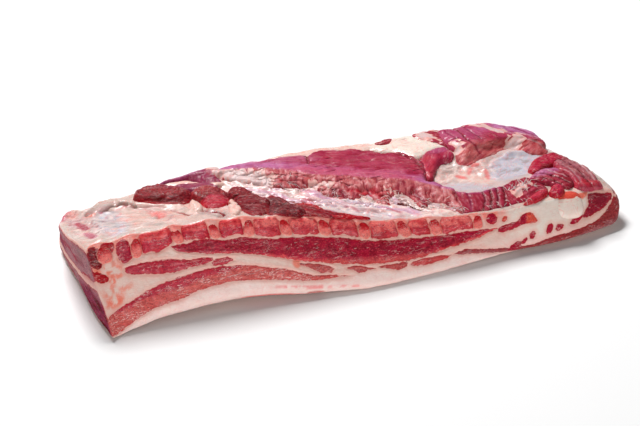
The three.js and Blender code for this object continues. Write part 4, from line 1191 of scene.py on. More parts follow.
# muscle and fat lying on the slab: outline in plan, rise above the lining, how round the rim is,
# and where it has one, a ridge with a slope in front of it
muscleKinds = {
    "darkMuscle": {"slot": "dark_lean", "tone": "skirt", "fat": "blush", "lean": 6, "round": 6, "step": 1,
        "ragged": 0.9, "rough": 0.6, "roughSize": 3.4, "angle": 60, "gloss": 0.45,
        "rimTone": "blood", "torn": 0.25},
    "sheetMuscle": {"slot": "purple_lean", "tone": "plum", "fat": "fascia", "lean": 5, "round": 5,
        "step": 1, "ragged": 0.8, "rough": 0.4, "roughSize": 5, "angle": 0, "gloss": 0.6,
        "torn": 0.5},
    "membraneSkin": {"slot": "fat", "fat": "cream", "lean": -9, "round": 6, "step": 1.1,
        "ragged": 0.8, "rough": 0.4, "roughSize": 8, "angle": 0, "gloss": 0.5, "torn": 0},
}
topMuscles = [
    {"piece": "membraneFold", "node": "membrane_fold", "material": "membraneSkin", "slot": "membrane",
     "fat": "membrane", "rise": 2.6, "step": 0.9, "rough": 0.8, "roughSize": 5, "angle": 40, "ragged": 1.4,
     "outline": [(-242, 44), (-234, 62), (-220, 78), (-206, 78), (-198, 62), (-192, 44), (-204, 50),
         (-214, 52), (-226, 46)],
     "folds": [(1.6, 3, None, [(-238, 50), (-226, 66), (-212, 72), (-204, 62)]),
         (-1, 1.1, "dusty", [(-232, 50), (-222, 58), (-212, 60), (-206, 56)]),
         (-0.8, 1.2, "mauve", [(-234, 60), (-222, 72), (-210, 75)])]},
    {"piece": "skirtLump1", "node": "skirt_1", "material": "darkMuscle", "rise": 7, "front": 2.6,
     "frontTone": "dark", "ridge": [(-192, 62), (-180, 50), (-166, 44), (-152, 42), (-140, 44)],
     "outline": [(-191, 62), (-186, 74), (-176, 80), (-162, 79), (-150, 66), (-140, 50), (-139, 38),
         (-148, 29), (-162, 32), (-176, 40), (-186, 52)]},
    {"piece": "skirtLump2", "node": "skirt_2", "material": "darkMuscle", "rise": 6.5, "front": 2.6,
     "frontTone": "garnet", "angle": 70,
     "ridge": [(-142, 34), (-134, 24), (-126, 28), (-118, 22), (-108, 22)],
     "outline": [(-142, 38), (-134, 50), (-124, 54), (-114, 42), (-108, 28), (-110, 14), (-118, 4),
         (-128, 2), (-136, 8), (-137, 24)]},
    {"piece": "skirtLump3", "node": "skirt_3", "material": "darkMuscle", "rise": 7.5, "front": 2.2,
     "frontTone": "dark", "ridge": [(-110, 18), (-104, 14), (-96, 7), (-88, -4), (-82, -18)],
     "outline": [(-111, 24), (-101, 33), (-91, 26), (-84, 8), (-80, -14), (-88, -32), (-99, -46),
         (-108, -40), (-114, -22), (-112, 0)]},
    {"piece": "skirtLump4", "node": "skirt_4", "material": "darkMuscle", "rise": 6.5, "front": 1.8,
     "frontTone": "wine", "ridge": [(-86, -8), (-78, -8), (-70, -14), (-64, -30), (-60, -46)],
     "outline": [(-86, -12), (-76, 2), (-67, -6), (-62, -24), (-56, -44), (-66, -53), (-82, -52),
         (-92, -42), (-88, -26)]},
    {"piece": "skirtLump5", "node": "skirt_5", "material": "darkMuscle", "rise": 4.6, "round": 4,
     "tone": "blood", "front": 1.6, "frontTone": "dark",
     "ridge": [(-62, -28), (-52, -28), (-42, -38), (-28, -50)],
     "outline": [(-62, -28), (-52, -19), (-43, -27), (-36, -42), (-20, -55), (-40, -56), (-58, -53),
         (-66, -42)]},
    {"piece": "redSliver", "material": "darkMuscle", "tone": "blood", "rise": 2.4, "round": 3, "step": 0.8,
     "ragged": 0.5, "angle": 20,
     "outline": [(-36, -50), (-22, -45), (-8, -53), (2, -58), (-14, -60), (-32, -57)]},
    {"piece": "behindSkirt", "material": "sheetMuscle", "tone": "violet", "rise": 4.4, "angle": -45,
     "outline": [(-150, 68), (-142, 73), (-128, 66), (-116, 56), (-112, 44), (-124, 46), (-138, 50)]},
    {"piece": "tailMuscle", "node": "tail_muscle", "material": "sheetMuscle", "tone": "violet", "lean": 4,
     "rise": 7, "round": 7, "angle": -8, "roughSize": 6, "front": 2, "frontTone": "violet",
     "ridge": [(-160, 82), (-138, 82), (-120, 84), (-106, 78)],
     "outline": [(-163, 82), (-142, 87), (-122, 91), (-106, 93), (-98, 80), (-104, 60), (-118, 62),
         (-130, 76), (-148, 76)]},
    {"piece": "flankSheet", "node": "flank_sheet", "material": "sheetMuscle", "tone": "purple", "round": 6,
     "lean": 4, "rise": 8, "step": 1.1, "ragged": 2.2, "roughSize": 9, "angle": -20, "front": 2.2,
     "frontTone": "fringe", "torn": 1.1,
     "ridge": [(-110, 70), (-84, 64), (-67, 58), (-40, 43), (-19, 29), (14, 14), (48, 0), (69, -12),
         (85, -24), (99, -36)],
     "outline": [(-112, 74), (-86, 79), (-56, 75), (-36, 77), (-14, 73), (0, 77), (14, 74), (32, 71),
         (50, 62), (58, 52), (76, 46), (86, 30), (88, 12), (83, 2), (80, -8), (90, -22), (100, -34),
         (98, -56), (90, -64), (82, -44), (69, -42), (58, -48), (54, -24), (38, -20), (30, -34), (21, -28),
         (18, -12), (4, -18), (-8, -14), (-24, 0), (-30, 16), (-56, 20), (-70, 32), (-88, 46)],
     "folds": [(-1.8, 1.5, "dark", [(-11, 73), (-16, 64), (-20, 50)]),
         (-1.6, 2, "dark", [(-12, 0), (-6, -6), (-4, -14)]),
         (-1.8, 2.6, "blood", [(2, -4), (12, -8), (18, -14)]),
         (-2, 2.8, "blood", [(24, -8), (28, -20), (30, -32)]),
         (-1.8, 2.8, "dark", [(58, -22), (62, -34), (64, -46)]),
         (-0.8, 1.6, "dark", [(72, 40), (80, 24), (80, 8)]),
         (0.8, 2, None, [(-60, 46), (-30, 24), (-6, 4)]), (0.9, 2, None, [(40, -6), (48, -20), (56, -30)])]},
    {"piece": "flankBand", "node": "flank_band", "material": "sheetMuscle", "slot": "dark_lean", "lean": 4,
     "rise": 6, "round": 4, "roughSize": 4, "front": 1.4, "frontTone": "plum",
     "ridge": [(84, -17), (100, -33), (115, -39), (130, -38), (146, -35), (162, -30), (180, -28)],
     "outline": [(80, -10), (98, -30), (115, -37), (130, -36), (146, -33), (162, -28), (178, -27),
         (187, -40), (186, -54), (172, -60), (150, -62), (128, -64), (108, -65), (94, -66), (88, -54),
         (86, -38)],
     "folds": [(-0.9, 1.1, "wine", [(124, -36), (120, -52), (112, -66)]),
         (-1.1, 1.2, "wine", [(132, -37), (127, -52), (120, -66)]),
         (-1.1, 1.2, "wine", [(139, -36), (134, -52), (127, -66)]),
         (-0.9, 1.1, "wine", [(146, -35), (142, -50), (136, -64)]),
         (-0.8, 1.2, "violet", [(108, -36), (106, -50), (100, -66)]),
         (1, 1.4, None, [(150, -52), (160, -44), (174, -42)]),
         (1, 1.4, None, [(150, -58), (164, -52), (178, -48)])]},
    {"piece": "curledMuscle", "node": "curled_muscle", "material": "sheetMuscle", "tone": "purple",
     "rise": 5.2, "round": 6, "step": 0.8, "ragged": 0.5, "angle": 50, "gloss": 0.35,
     "outline": [(82, -4), (82, 12), (89, 32), (99, 43), (112, 49), (123, 48), (126, 38), (122, 26),
         (116, 22), (107, 22), (100, 14), (92, 4), (88, -4)]},
    {"piece": "shoulderMuscle", "node": "shoulder_muscle", "material": "sheetMuscle", "tone": "purple",
     "lean": 4.5, "rise": 10, "round": 16, "angle": -52, "roughSize": 6, "gloss": 0.4, "front": 0.9,
     "frontTone": "fringe", "torn": 0.6,
     "ridge": [(122, 46), (132, 42), (148, 40), (168, 46), (186, 50), (206, 48), (230, 40)],
     "outline": [(126, 82), (146, 86), (170, 91), (200, 93), (226, 88), (236, 72), (233, 46), (225, 24),
         (206, 25), (190, 40), (176, 32), (160, 25), (145, 20), (132, 12), (122, 14), (124, 26), (130, 40),
         (124, 58)],
     "folds": [(-1.2, 1.4, "dark", [(142, 82), (146, 66), (146, 48), (152, 28)]),
         (-0.9, 1.2, "violet", [(154, 84), (158, 66), (162, 46)]),
         (-0.8, 1.2, "violet", [(134, 74), (137, 56), (138, 36)]),
         (-1.2, 1.2, "fascia", [(196, 44), (206, 46), (220, 38), (230, 30)]),
         (-1, 1.6, "violet", [(196, 84), (208, 70), (226, 56)])]},
    {"piece": "endRed", "node": "end_red", "material": "darkMuscle", "tone": "crimson", "rise": 6,
     "step": 0.9, "angle": -20, "torn": 0.5,
     "outline": [(186, -12), (196, 4), (210, 16), (228, 20), (238, 8), (226, -2), (206, -10), (194, -20)]},
    {"piece": "endPurple", "node": "end_purple", "material": "sheetMuscle", "lean": 6, "rise": 5,
     "step": 0.9, "rough": 0.8, "roughSize": 4, "angle": -50, "gloss": 0.3, "torn": 1,
     "folds": [(-1.3, 1.2, "wine", [(188, -22), (200, -30), (211, -46)]),
         (-0.9, 1, "fascia", [(196, -15), (206, -25), (215, -38)]),
         (-1, 1.1, "wine", [(184, -30), (194, -38), (202, -49)])],
     "outline": [(178, -30), (190, -18), (206, -12), (217, -20), (219, -38), (212, -52), (198, -50),
         (190, -42)]},
    {"piece": "endBrown", "node": "end_brown", "material": "sheetMuscle", "lean": 3.5, "rise": 5.6,
     "step": 0.9, "rough": 0.9, "roughSize": 3, "angle": -62, "gloss": 0.2, "torn": 1.2,
     "folds": [(-1, 1.2, "wine", [(226, 6), (231, -20), (231, -52)]),
         (-0.8, 1, "fascia", [(237, 4), (240, -20), (240, -46)]),
         (-0.8, 1, "mauve", [(220, -2), (224, -24), (223, -52)])],
     "outline": [(222, 8), (236, 10), (243, -8), (246, -30), (246, -52), (232, -56), (216, -54),
         (218, -36), (214, -14)]},
    {"piece": "redNub", "node": "red_nub", "material": "darkMuscle", "tone": "crimson", "rise": 6,
     "round": 5, "step": 0.8, "ragged": 0.5, "rough": 0.4, "angle": 40,
     "outline": [(184, -60), (190, -51), (197, -47), (203, -52), (199, -61), (190, -66)]},
    {"piece": "saddleFat", "material": "membraneSkin", "fat": "butter", "rise": 5, "round": 12, "rough": 0.3,
     "outline": [(40, 76), (60, 88), (84, 93), (102, 91), (112, 80), (120, 62), (126, 46), (112, 44),
         (96, 38), (84, 36), (74, 50), (56, 62)]},
    {"piece": "shoulderEdge", "material": "sheetMuscle", "rise": 6.5, "round": 8, "step": 0.9, "ragged": 2,
     "rough": 0.8, "angle": -40, "torn": 1,
     "outline": [(101, 66), (100, 82), (110, 89), (124, 92), (136, 88), (132, 64), (126, 50), (118, 56),
         (110, 63)]},
    {"piece": "backRimFat", "material": "membraneSkin", "rise": 5, "round": 9, "ragged": 1, "angle": -4,
     "outline": [(-62, 80), (-40, 90), (-24, 94), (6, 95), (38, 92), (58, 88), (64, 72), (46, 66),
         (16, 72), (-34, 74)]},
    {"piece": "tailFat", "material": "membraneSkin", "rise": 3.6, "angle": -8,
     "outline": [(-164, 76), (-150, 84), (-132, 78), (-120, 62), (-104, 56), (-112, 48), (-128, 58),
         (-146, 70)]},
    {"piece": "backScrap", "material": "darkMuscle", "tone": "plum", "lean": 5, "angle": 20, "rise": 6.2,
     "round": 3, "step": 0.8, "outline": [(58, 76), (70, 85), (82, 84), (78, 76), (70, 70)]},
    {"piece": "frontLens", "material": "darkMuscle", "tone": "garnet", "lean": 5, "rise": 5, "round": 4,
     "step": 0.7, "ragged": 0.4, "rough": 0.3, "angle": 25, "gloss": 0.7,
     "outline": [(154, -66), (164, -59), (176, -53), (186, -51), (184, -58), (174, -64), (162, -67)]},
    {"piece": "fatNub", "material": "membraneSkin", "rise": 5, "step": 0.7, "rough": 0.9, "roughSize": 3.4,
     "outline": [(-149, 20), (-143, 30), (-138, 22), (-138, 6), (-143, -3), (-150, 2)]},
    {"piece": "fatWedge", "material": "membraneSkin", "rise": 4.4, "step": 0.7, "rough": 0.9,
     "roughSize": 3.4,
     "outline": [(-116, 2), (-109, 16), (-107, -4), (-113, -30), (-121, -38), (-124, -28)]},
]
topMuscles = [{**muscleKinds[spec["material"]], **spec} for spec in topMuscles]
sunk = 1.4  # how far the rim of such a piece lies under the lining
ridgeSoft = 0.01  # keeps the ridge's slope from a division by zero
# what all of them share: relief in millimetres, sizes of it, and shares of tone
muscleRelief = {"fibre": 0.28, "fibreSize": 1.6, "fibreLength": 6, "fine": 0.5, "coarse": 0.7, "strand": 0.25,
                "strandSize": 1.5, "calm": 0.3, "widest": 60, "margin": 4, "underside": 1.7}
# pale and deep are the shares of pale on the high shreds and dark in their hollows
muscleTint = {"blush": 0.2, "front": 0.85, "pale": 0.4, "deep": 0.7, "fold": 0.8, "rim": 0.55,
              "dullFront": 0.75}

# the lilacSheen ovals are painted sheen on the muscles' ridges and upper sides
muscleZones = {
    "skirtLump1": [("violet", 0.4, 6, (-154, 70, 24, 9, -40))],
    "skirtLump2": [("fringe", 0.4, 5, (-127, 44, 18, 8, 20))],
    "tailMuscle": [("lilacSheen", 0.5, 6, (-134, 87, 30, 7, 12))],
    "membraneFold": [("grey", 0.35, 5, (-222, 56, 20, 6, -5)), ("mauve", 0.5, 4, (-222, 46, 16, 4, 5))],
    "flankSheet": [("lilacSheen", 0.75, 8, (0, 21, 136, 12, -27)), ("lilacSheen", 0.35, 10, (-64, 68, 50, 9, -8)),
        ("rose", 0.45, 7, (6, 17, 66, 12, -25)), ("crimson", 0.7, 4, (42, -27, 26, 7, -25)),
        ("plum", 0.4, 8, (76, 30, 22, 10, 90))],
    "flankBand": [("lilacSheen", 0.6, 5, (120, -38, 42, 5, -5)), ("brownPink", 0.8, 5, (102, -54, 16, 11, 0))],
    "shoulderMuscle": [("lilacSheen", 0.85, 12, (208, 74, 40, 17, -15)),
        ("crimson", 0.9, 3, (213, 31, 15, 6, -20)), ("lilacSheen", 0.35, 12, (150, 70, 30, 18, 20)),
        ("crimson", 0.35, 5, (171, 80, 14, 7, 0)), ("fringe", 0.5, 8, (152, 33, 28, 12, 15))],
    "endPurple": [("lilacSheen", 0.7, 4, (196, -22, 22, 6, 15)), ("dark", 0.6, 4, (214, -40, 16, 4, 80))],
    "curledMuscle": [("rose", 0.5, 5, (90, 12, 20, 5, 65)), ("lilacSheen", 0.4, 5, (114, 42, 12, 5, 10))],
    "endBrown": [("dusty", 0.8, 6, (234, -22, 28, 12, -80)), ("blood", 0.6, 4, (231, -48, 15, 4, 5)),
        ("mauve", 0.4, 4, (228, -8, 14, 5, -60))],
}
palePatches = {  # outlines within which fat or fascia lies over a muscle
    "shoulderEdge": [[(102, 70), (106, 84), (114, 88), (118, 80), (124, 60), (118, 60)],
        [(124, 90), (130, 90), (130, 76)]],
    "shoulderMuscle": [[(160, 82), (168, 78), (178, 64), (190, 58), (196, 64), (184, 70), (174, 82),
        (164, 88)],
        [(188, 46), (202, 56), (208, 50), (200, 38), (189, 38)],
        [(124, 36), (132, 50), (140, 44), (134, 32)]],
    "flankSheet": [[(-112, 72), (-84, 64), (-62, 48), (-56, 36), (-66, 26), (-92, 44)],
        [(-26, 22), (-12, 14), (-16, 6), (-30, 14)], [(38, -8), (46, -16), (52, -28), (44, -26)]],
    "tailMuscle": [[(-112, 96), (-96, 90), (-98, 62), (-106, 60)]],
    "flankBand": [[(150, -50), (160, -41), (174, -38), (175, -42), (162, -46), (154, -54)]],
}


def surfaceAt(x, y):  # the finished lining's point and normal over a place in plan
    u, v = uvOfPlan(x, y)
    a, b = clamp01(u) * cellsAlong, clamp01(v) * cellsAcross
    i, j = np.minimum(a.astype(int), cellsAlong - 1), np.minimum(b.astype(int), cellsAcross - 1)
    fa, fb = (a - i)[..., None], (b - j)[..., None]
    found = []
    for table in (topFinal, topNormal):
        low = blend(table[i, j], table[i + 1, j], fa)
        high = blend(table[i, j + 1], table[i + 1, j + 1], fa)
        found.append(blend(low, high, fb))
    return found


def muscleHeight(spec, x, y, depth):
    over = clamp01(1 - np.maximum(depth, 0) / spec["round"])
    profile = np.sqrt(1 - over ** 2)
    height = np.full(x.shape, float(spec["rise"]))
    ahead = np.full(x.shape, -1.0)
    if "ridge" in spec:
        ahead = distanceToLine(smoothOpen(spec["ridge"]), x, y)
        down = clamp01(ahead / (np.maximum(ahead, 0) + np.maximum(depth, 0) + ridgeSoft))
        height = blend(height, spec["front"], ease(down, 0, 1))
    return height * profile, ahead


def planGrid(spec, seed):  # a grid in plan cut to the outline: points, faces, depth inside the rim
    outline = np.array(spec["outline"], float)
    low, high = outline.min(0) - muscleRelief["margin"], outline.max(0) + muscleRelief["margin"]
    step = spec["step"]
    x, y = np.meshgrid(np.arange(low[0], high[0], step), np.arange(low[1], high[1], step), indexing="ij")
    wander = spec["ragged"] * clouds(asPlan(x, y), 7, seed)
    depth = distanceInside(outline, x, y, muscleRelief["widest"]) + wander
    keep = depth > -sunk
    cells = keep[:-1, :-1] & keep[1:, :-1] & keep[1:, 1:] & keep[:-1, 1:]
    surround = np.zeros(x.shape, int)  # how many kept cells meet at a point
    for dx, dy in np.ndindex(2, 2):
        surround[dx:x.shape[0] - 1 + dx, dy:x.shape[1] - 1 + dy] += cells
    kept = surround > 0
    edge = kept & (surround < 4)
    index = np.full(x.shape, -1)
    index[kept] = np.arange(kept.sum())
    slopeX, slopeY = np.gradient(depth, step)
    pull = np.where(edge, (-sunk - depth) / np.maximum(slopeX ** 2 + slopeY ** 2, 0.25), 0)
    pull = np.clip(pull, -step * 1.2, step * 1.2)  # draws the edge's points onto the rim
    x, y = x + pull * slopeX, y + pull * slopeY
    depth = np.where(edge, -sunk, depth)
    return x[kept], y[kept], depth[kept], quads(index)[cells.reshape(-1)]


def closedFaces(faces, count):  # upper sheet, lower sheet and the wall between their rims
    pairs = np.concatenate([faces[:, [k, (k + 1) % 4]] for k in range(4)])
    code = pairs[:, 0] * (count + 1) + pairs[:, 1]
    back = pairs[:, 1] * (count + 1) + pairs[:, 0]
    rim = pairs[~np.isin(code, back)]
    walls = np.stack([rim[:, 0] + count, rim[:, 1] + count, rim[:, 1], rim[:, 0]], 1)
    return [faces, faces[:, ::-1] + count, walls]


def topPiece(spec):
    name, folds = spec["piece"], spec.get("folds", [])
    seed = 100 + len(name) * 7 + int(abs(spec["outline"][0][0]))
    x, y, depth, faces = planGrid(spec, seed)
    plan = asPlan(x, y)
    height, ahead = muscleHeight(spec, x, y, depth)
    lengthwise, crosswise = turned(x, y, spec["angle"])
    if "ridge" in spec:  # the fibres run down the slope in front of it
        isAhead = ahead > 0
        lengthwise, crosswise = (np.where(isAhead, ahead * 1.2, lengthwise),
                                 np.where(isAhead, lengthwise, crosswise))
    look, tint = muscleRelief, muscleTint
    inside = ease(depth, 0, 3)
    fibres = noise(asPlan(lengthwise / look["fibreLength"], crosswise), look["fibreSize"], seed + 9)
    height = height + inside * spec["rough"] * clouds(plan, spec["roughSize"], seed + 5)
    height = height + inside * (look["fibre"] * fibres + foldsOn(x, y, folds))
    torn = spec["torn"] * blend(look["calm"], 1, ease(ahead, 0, 4))
    drawn = asPlan(lengthwise / 1.8, crosswise) + 2.5 * noise(plan, 7, seed)[:, None]
    shreds = clouds(drawn, 3.4, seed + 15)
    strands = noise(asPlan(lengthwise / 5, crosswise), look["strandSize"], seed + 19)
    lumps = look["fine"] * shreds + look["coarse"] * noise(drawn, 9, seed + 17) + look["strand"] * strands
    height = height + inside * torn * lumps
    base, normal = surfaceAt(x, y)
    upper = base + normal * (height - sunk * (1 - ease(depth, -sunk, 0.6)))[:, None]
    lower = base - normal * (sunk * look["underside"])

    wobble = clouds(plan, 10, seed + 3)
    isFat = spec["lean"] < 0
    tone = flat(x.shape, spec["fat" if isFat else "tone"])
    tone = paint(tone, tint["blush"] * ease(wobble, -0.6, 0.6), "blush")
    tone = zonesOn(x, y, muscleZones.get(name, []), tone, wobble)
    if "frontTone" in spec:
        tone = paint(tone, tint["front"] * ease(ahead + wobble, 0, 3), spec["frontTone"])
    # pale on the high shreds and dark in their hollows: partly the tissue's own colour, partly painted
    # highlight and painted shade
    tone = paint(tone, tint["pale"] * torn * ease(shreds + 0.6 * strands, 0.1, 0.8), "pinkFat")
    tone = paint(tone, tint["deep"] * torn * ease(shreds + 0.5 * strands, -0.1, -0.7), "dark")
    # dark tones along the creases: partly painted shade
    tone = foldTonesAndCreaseShade(tone, x, y, folds, tint["fold"])
    if "rimTone" in spec:
        tone = paint(tone, tint["rim"] * ease(depth + wobble, 3, 0.6), spec["rimTone"])
    lean = spec["lean"] + 1.2 * wobble
    streaks = noise(asPlan(lengthwise / 5, crosswise), 2.2, seed + 11)
    for patch in palePatches.get(name, []):
        lean = np.minimum(lean, 4 * streaks + 1.5 * wobble - 0.8 * distanceInside(patch, x, y))
    if not isFat:
        lean = np.minimum(lean, 2.5 + depth)
    count = len(x)
    fat = tone if isFat else flat((count,), spec["fat"])
    gloss = spec["gloss"] * (1 - tint["dullFront"] * ease(ahead, -1, 3))
    values = {"lean": np.tile(lean, 2), "fleck": np.full(2 * count, 0.5), "gloss": np.tile(gloss, 2)}
    colours = {"leanTone": np.tile(tone, (2, 1)), "fatTone": np.tile(fat, (2, 1))}
    grainAt = np.tile(np.stack([lengthwise, crosswise, height], -1), (2, 1))
    piece = meshPiece(name, np.concatenate([upper, lower]), closedFaces(faces, count),
                      (values, colours, {"grain": grainAt}), materials[spec["material"]])
    finished(piece, spec.get("node"))


for spec in topMuscles:
    topPiece(spec)
print("muscles laid on top")

# each cut rib: a domed saw cut with marrow in it and a shaft running inwards
ribShape = {"rings": 9, "turns": 40, "shaft": 14, "square": 2.6, "taper": 0.7, "tilt": 1.2,
            "extraHeight": 0.6, "wave": 0.08, "lean": 0.16, "sunk": 0.5, "dome": 0.25, "facing": 0.55,
            "thinnest": 0.12}


def capFaces(loop, middle):  # a fan of triangles from a closed loop to its middle
    return np.stack([loop, np.roll(loop, -1), np.full(len(loop), middle)], 1)


def ribPiece(number, u, half):
    shape, turns = ribShape, ribShape["turns"]
    low, high, height = curveAt(ribRow["low"], u), ribRow["top"], faceHeight(u)
    tall = (high - low) / 2 * height + shape["extraHeight"]
    angle = np.arange(turns) / turns * 2 * np.pi
    c, s = np.cos(angle), np.sin(angle)
    power = 2 / shape["square"]
    unitX, unitY = np.sign(c) * np.abs(c) ** power, np.sign(s) * np.abs(s) ** power
    unitX = unitX * (1 + shape["wave"] * np.sin(2 * angle + number)) * (1 - shape["lean"] * unitY)
    tilt = shape["tilt"] * np.sin(number * 2.2)
    outward = np.array([0, -np.cos(shape["facing"]), np.sin(shape["facing"])])
    points, lean, tone = [], [], []

    def section(share, v, out):
        dx, dy = unitX * half * share, unitY * tall * share
        w = (low + high) / 2 + dy / height
        at = place(u + (dx - tilt * unitY * share) / slab["length"], np.full(dx.shape, v), w) + outward * out
        points.append(at)
        grit = noise(at, 2.2, 60 + number)
        lean.append((0.9 - share) * half + 0.7 * grit)
        colour = paint(flat(dx.shape, "cell"), ease(unitY * share + 0.25 * grit, -0.15, 0.45), "marrow")
        tone.append(paint(colour, 0.5 * ease(-unitY * share, 0.2, 0.9), "shell"))

    for v in np.linspace(ribRow["reach"], 0.01, shape["shaft"]):
        inwards = v / ribRow["reach"]
        rounding = np.sqrt(max(shape["thinnest"], 1 - inwards ** 8))
        section(rounding * blend(1, shape["taper"], inwards), v, 0)
    for share in np.linspace(1, 0, shape["rings"])[:-1] ** 0.8:
        proud = blend(ribRow["proud"], -shape["sunk"], ease(share, 0.8, 1))
        section(share, 0, proud + shape["dome"] * (1 - share))
    rings = np.arange(len(points) * turns).reshape(-1, turns)
    closed = np.concatenate([rings, rings[:, :1]], 1)
    body = np.roll(quads(closed)[:, ::-1], 1, 1)
    points = np.concatenate(points)
    count = len(points)
    caps = np.concatenate([capFaces(rings[-1], count), capFaces(rings[0], count + 1)[:, [1, 0, 2]]])
    points = np.concatenate([points, [points[-turns:].mean(0), points[:turns].mean(0)]])
    lean = np.concatenate(lean + [[lean[-1].mean(), lean[0].mean()]])
    tone = np.concatenate(tone + [[tone[-1].mean(0), tone[0].mean(0)]])
    values = {"lean": lean, "fleck": np.full(count + 2, 0.5), "gloss": np.full(count + 2, 0.45)}
    colours = {"leanTone": tone, "fatTone": flat((count + 2,), "blush")}
    piece = meshPiece(f"rib{number:02d}", points, [body, caps], (values, colours, {"grain": points}),
                      materials["ribBone"])
    finished(piece, f"rib_{number:02d}")


for number, (u, half) in enumerate(zip(ribRow["u"], ribRow["halfWidth"]), 1):
    ribPiece(number, u, half)

# the sawn knob of blade cartilage at the thin end
knob = {"centre": (201, -63.5, 29), "radii": (16.5, 10.5, 14), "tilt": 36, "square": 2.8, "turns": 72,
        "rings": 40, "unevenness": 0.03, "redFrom": 0.28, "redTo": 0.42, "redAhead": 0.14, "redRagged": 0.12}


def knobPiece():
    turns = knob["turns"]
    polar = np.linspace(0, np.pi, knob["rings"] + 1)[1:-1]
    turn = np.arange(turns) / turns * 2 * np.pi
    lat, lon = np.meshgrid(polar, turn, indexing="ij")
    unit = np.stack([np.sin(lat) * np.cos(lon), -np.cos(lat), np.sin(lat) * np.sin(lon)], -1)
    size = (np.abs(unit) ** knob["square"]).sum(-1) ** (-1 / knob["square"])
    body = unit * size[..., None] * np.array(knob["radii"])
    body = body * (1 + knob["unevenness"] * clouds(unit * 14, 12, 81))[..., None]
    poles = np.array([[0, -knob["radii"][1], 0], [0, knob["radii"][1], 0]])
    tilt = np.radians(knob["tilt"])
    axes = np.array([[1, 0, 0], [0, np.cos(tilt), -np.sin(tilt)], [0, np.sin(tilt), np.cos(tilt)]])
    points = np.concatenate([body.reshape(-1, 3), poles]) @ axes + np.array(knob["centre"])
    count = len(points)
    rings = np.arange(count - 2).reshape(-1, turns)
    closed = np.concatenate([rings, rings[:, :1]], 1)
    caps = np.concatenate([capFaces(rings[0], count - 2)[:, [1, 0, 2]], capFaces(rings[-1], count - 1)])
    above = np.concatenate([(0.9 * unit[..., 2] + knob["redAhead"] * unit[..., 0]).ravel(), [0, 0]])
    red = ease(above + knob["redRagged"] * noise(points, 5, 83), knob["redFrom"], knob["redTo"])
    values = {"lean": red * 4 - 3, "fleck": np.full(count, 0.2), "gloss": np.full(count, 0.4)}
    colours = {"leanTone": flat((count,), "orange"), "fatTone": flat((count,), "butter")}
    piece = meshPiece("cartilageKnob", points, [quads(closed)[:, ::-1], caps],
                      (values, colours, {"grain": points}), materials["membraneSkin"])
    finished(piece, "cartilage_knob")


knobPiece()
print("ribs and knob built")

# loose threads of fascia: where they start, how many, how long and which way they lie
threadBeds = [
    {"line": [(-58, 27), (-28, 9), (-2, -14), (22, -30)], "count": 60, "spread": 6, "length": 8,
     "angle": -60},
    {"line": [(24, -28), (40, -20), (56, -40), (84, -48), (92, -62)], "count": 90, "spread": 8, "length": 8,
     "angle": -70},
    {"line": [(148, -44), (164, -44), (176, -44)], "count": 44, "spread": 8, "length": 12, "angle": 35},
    {"line": [(-104, 62), (-70, 40), (-40, 20)], "count": 24, "spread": 9, "length": 12, "angle": -30},
    {"line": [(120, -58), (140, -58), (160, -60)], "count": 20, "spread": 4, "length": 7, "angle": -80},
]
thread = {"radius": 0.3, "points": 7, "sides": 5, "lift": 0.6, "fan": 32, "bend": 0.9, "shortest": 0.45,
          "longest": 1.25, "thinning": 0.75}


def topHeightWithMuscles(x, y):  # lining height plus whatever muscle lies there
    base, normal = surfaceAt(x, y)
    extra = np.zeros(x.shape)
    for spec in topMuscles:
        depth = distanceInside(spec["outline"], x, y, muscleRelief["widest"])
        height, _ = muscleHeight(spec, x, y, depth)
        extra = np.maximum(extra, np.where(depth > 0, height, 0))
    return base + normal * extra[:, None], normal


def threadPaths():  # each thread's way in plan, and how thick it is
    random = np.random.RandomState(5)
    paths, sizes = [], []
    for bed in threadBeds:
        line, count = smoothOpen(bed["line"], 12), bed["count"]
        start = line[random.randint(0, len(line), count)] + random.normal(0, bed["spread"] / 2, (count, 2))
        aim = np.radians(bed["angle"] + random.normal(0, thread["fan"], count))
        bend = random.normal(0, thread["bend"], count)
        reach = bed["length"] * random.uniform(thread["shortest"], thread["longest"], count)
        for k in range(count):
            way = aim[k] + bend[k] * np.linspace(0, 1, thread["points"])
            steps = np.stack([np.cos(way), np.sin(way)], 1) * reach[k] / thread["points"]
            paths.append(start[k] + np.cumsum(steps, 0))
            sizes.append(random.uniform(0.5, 1.3))
    return np.array(paths), np.array(sizes)


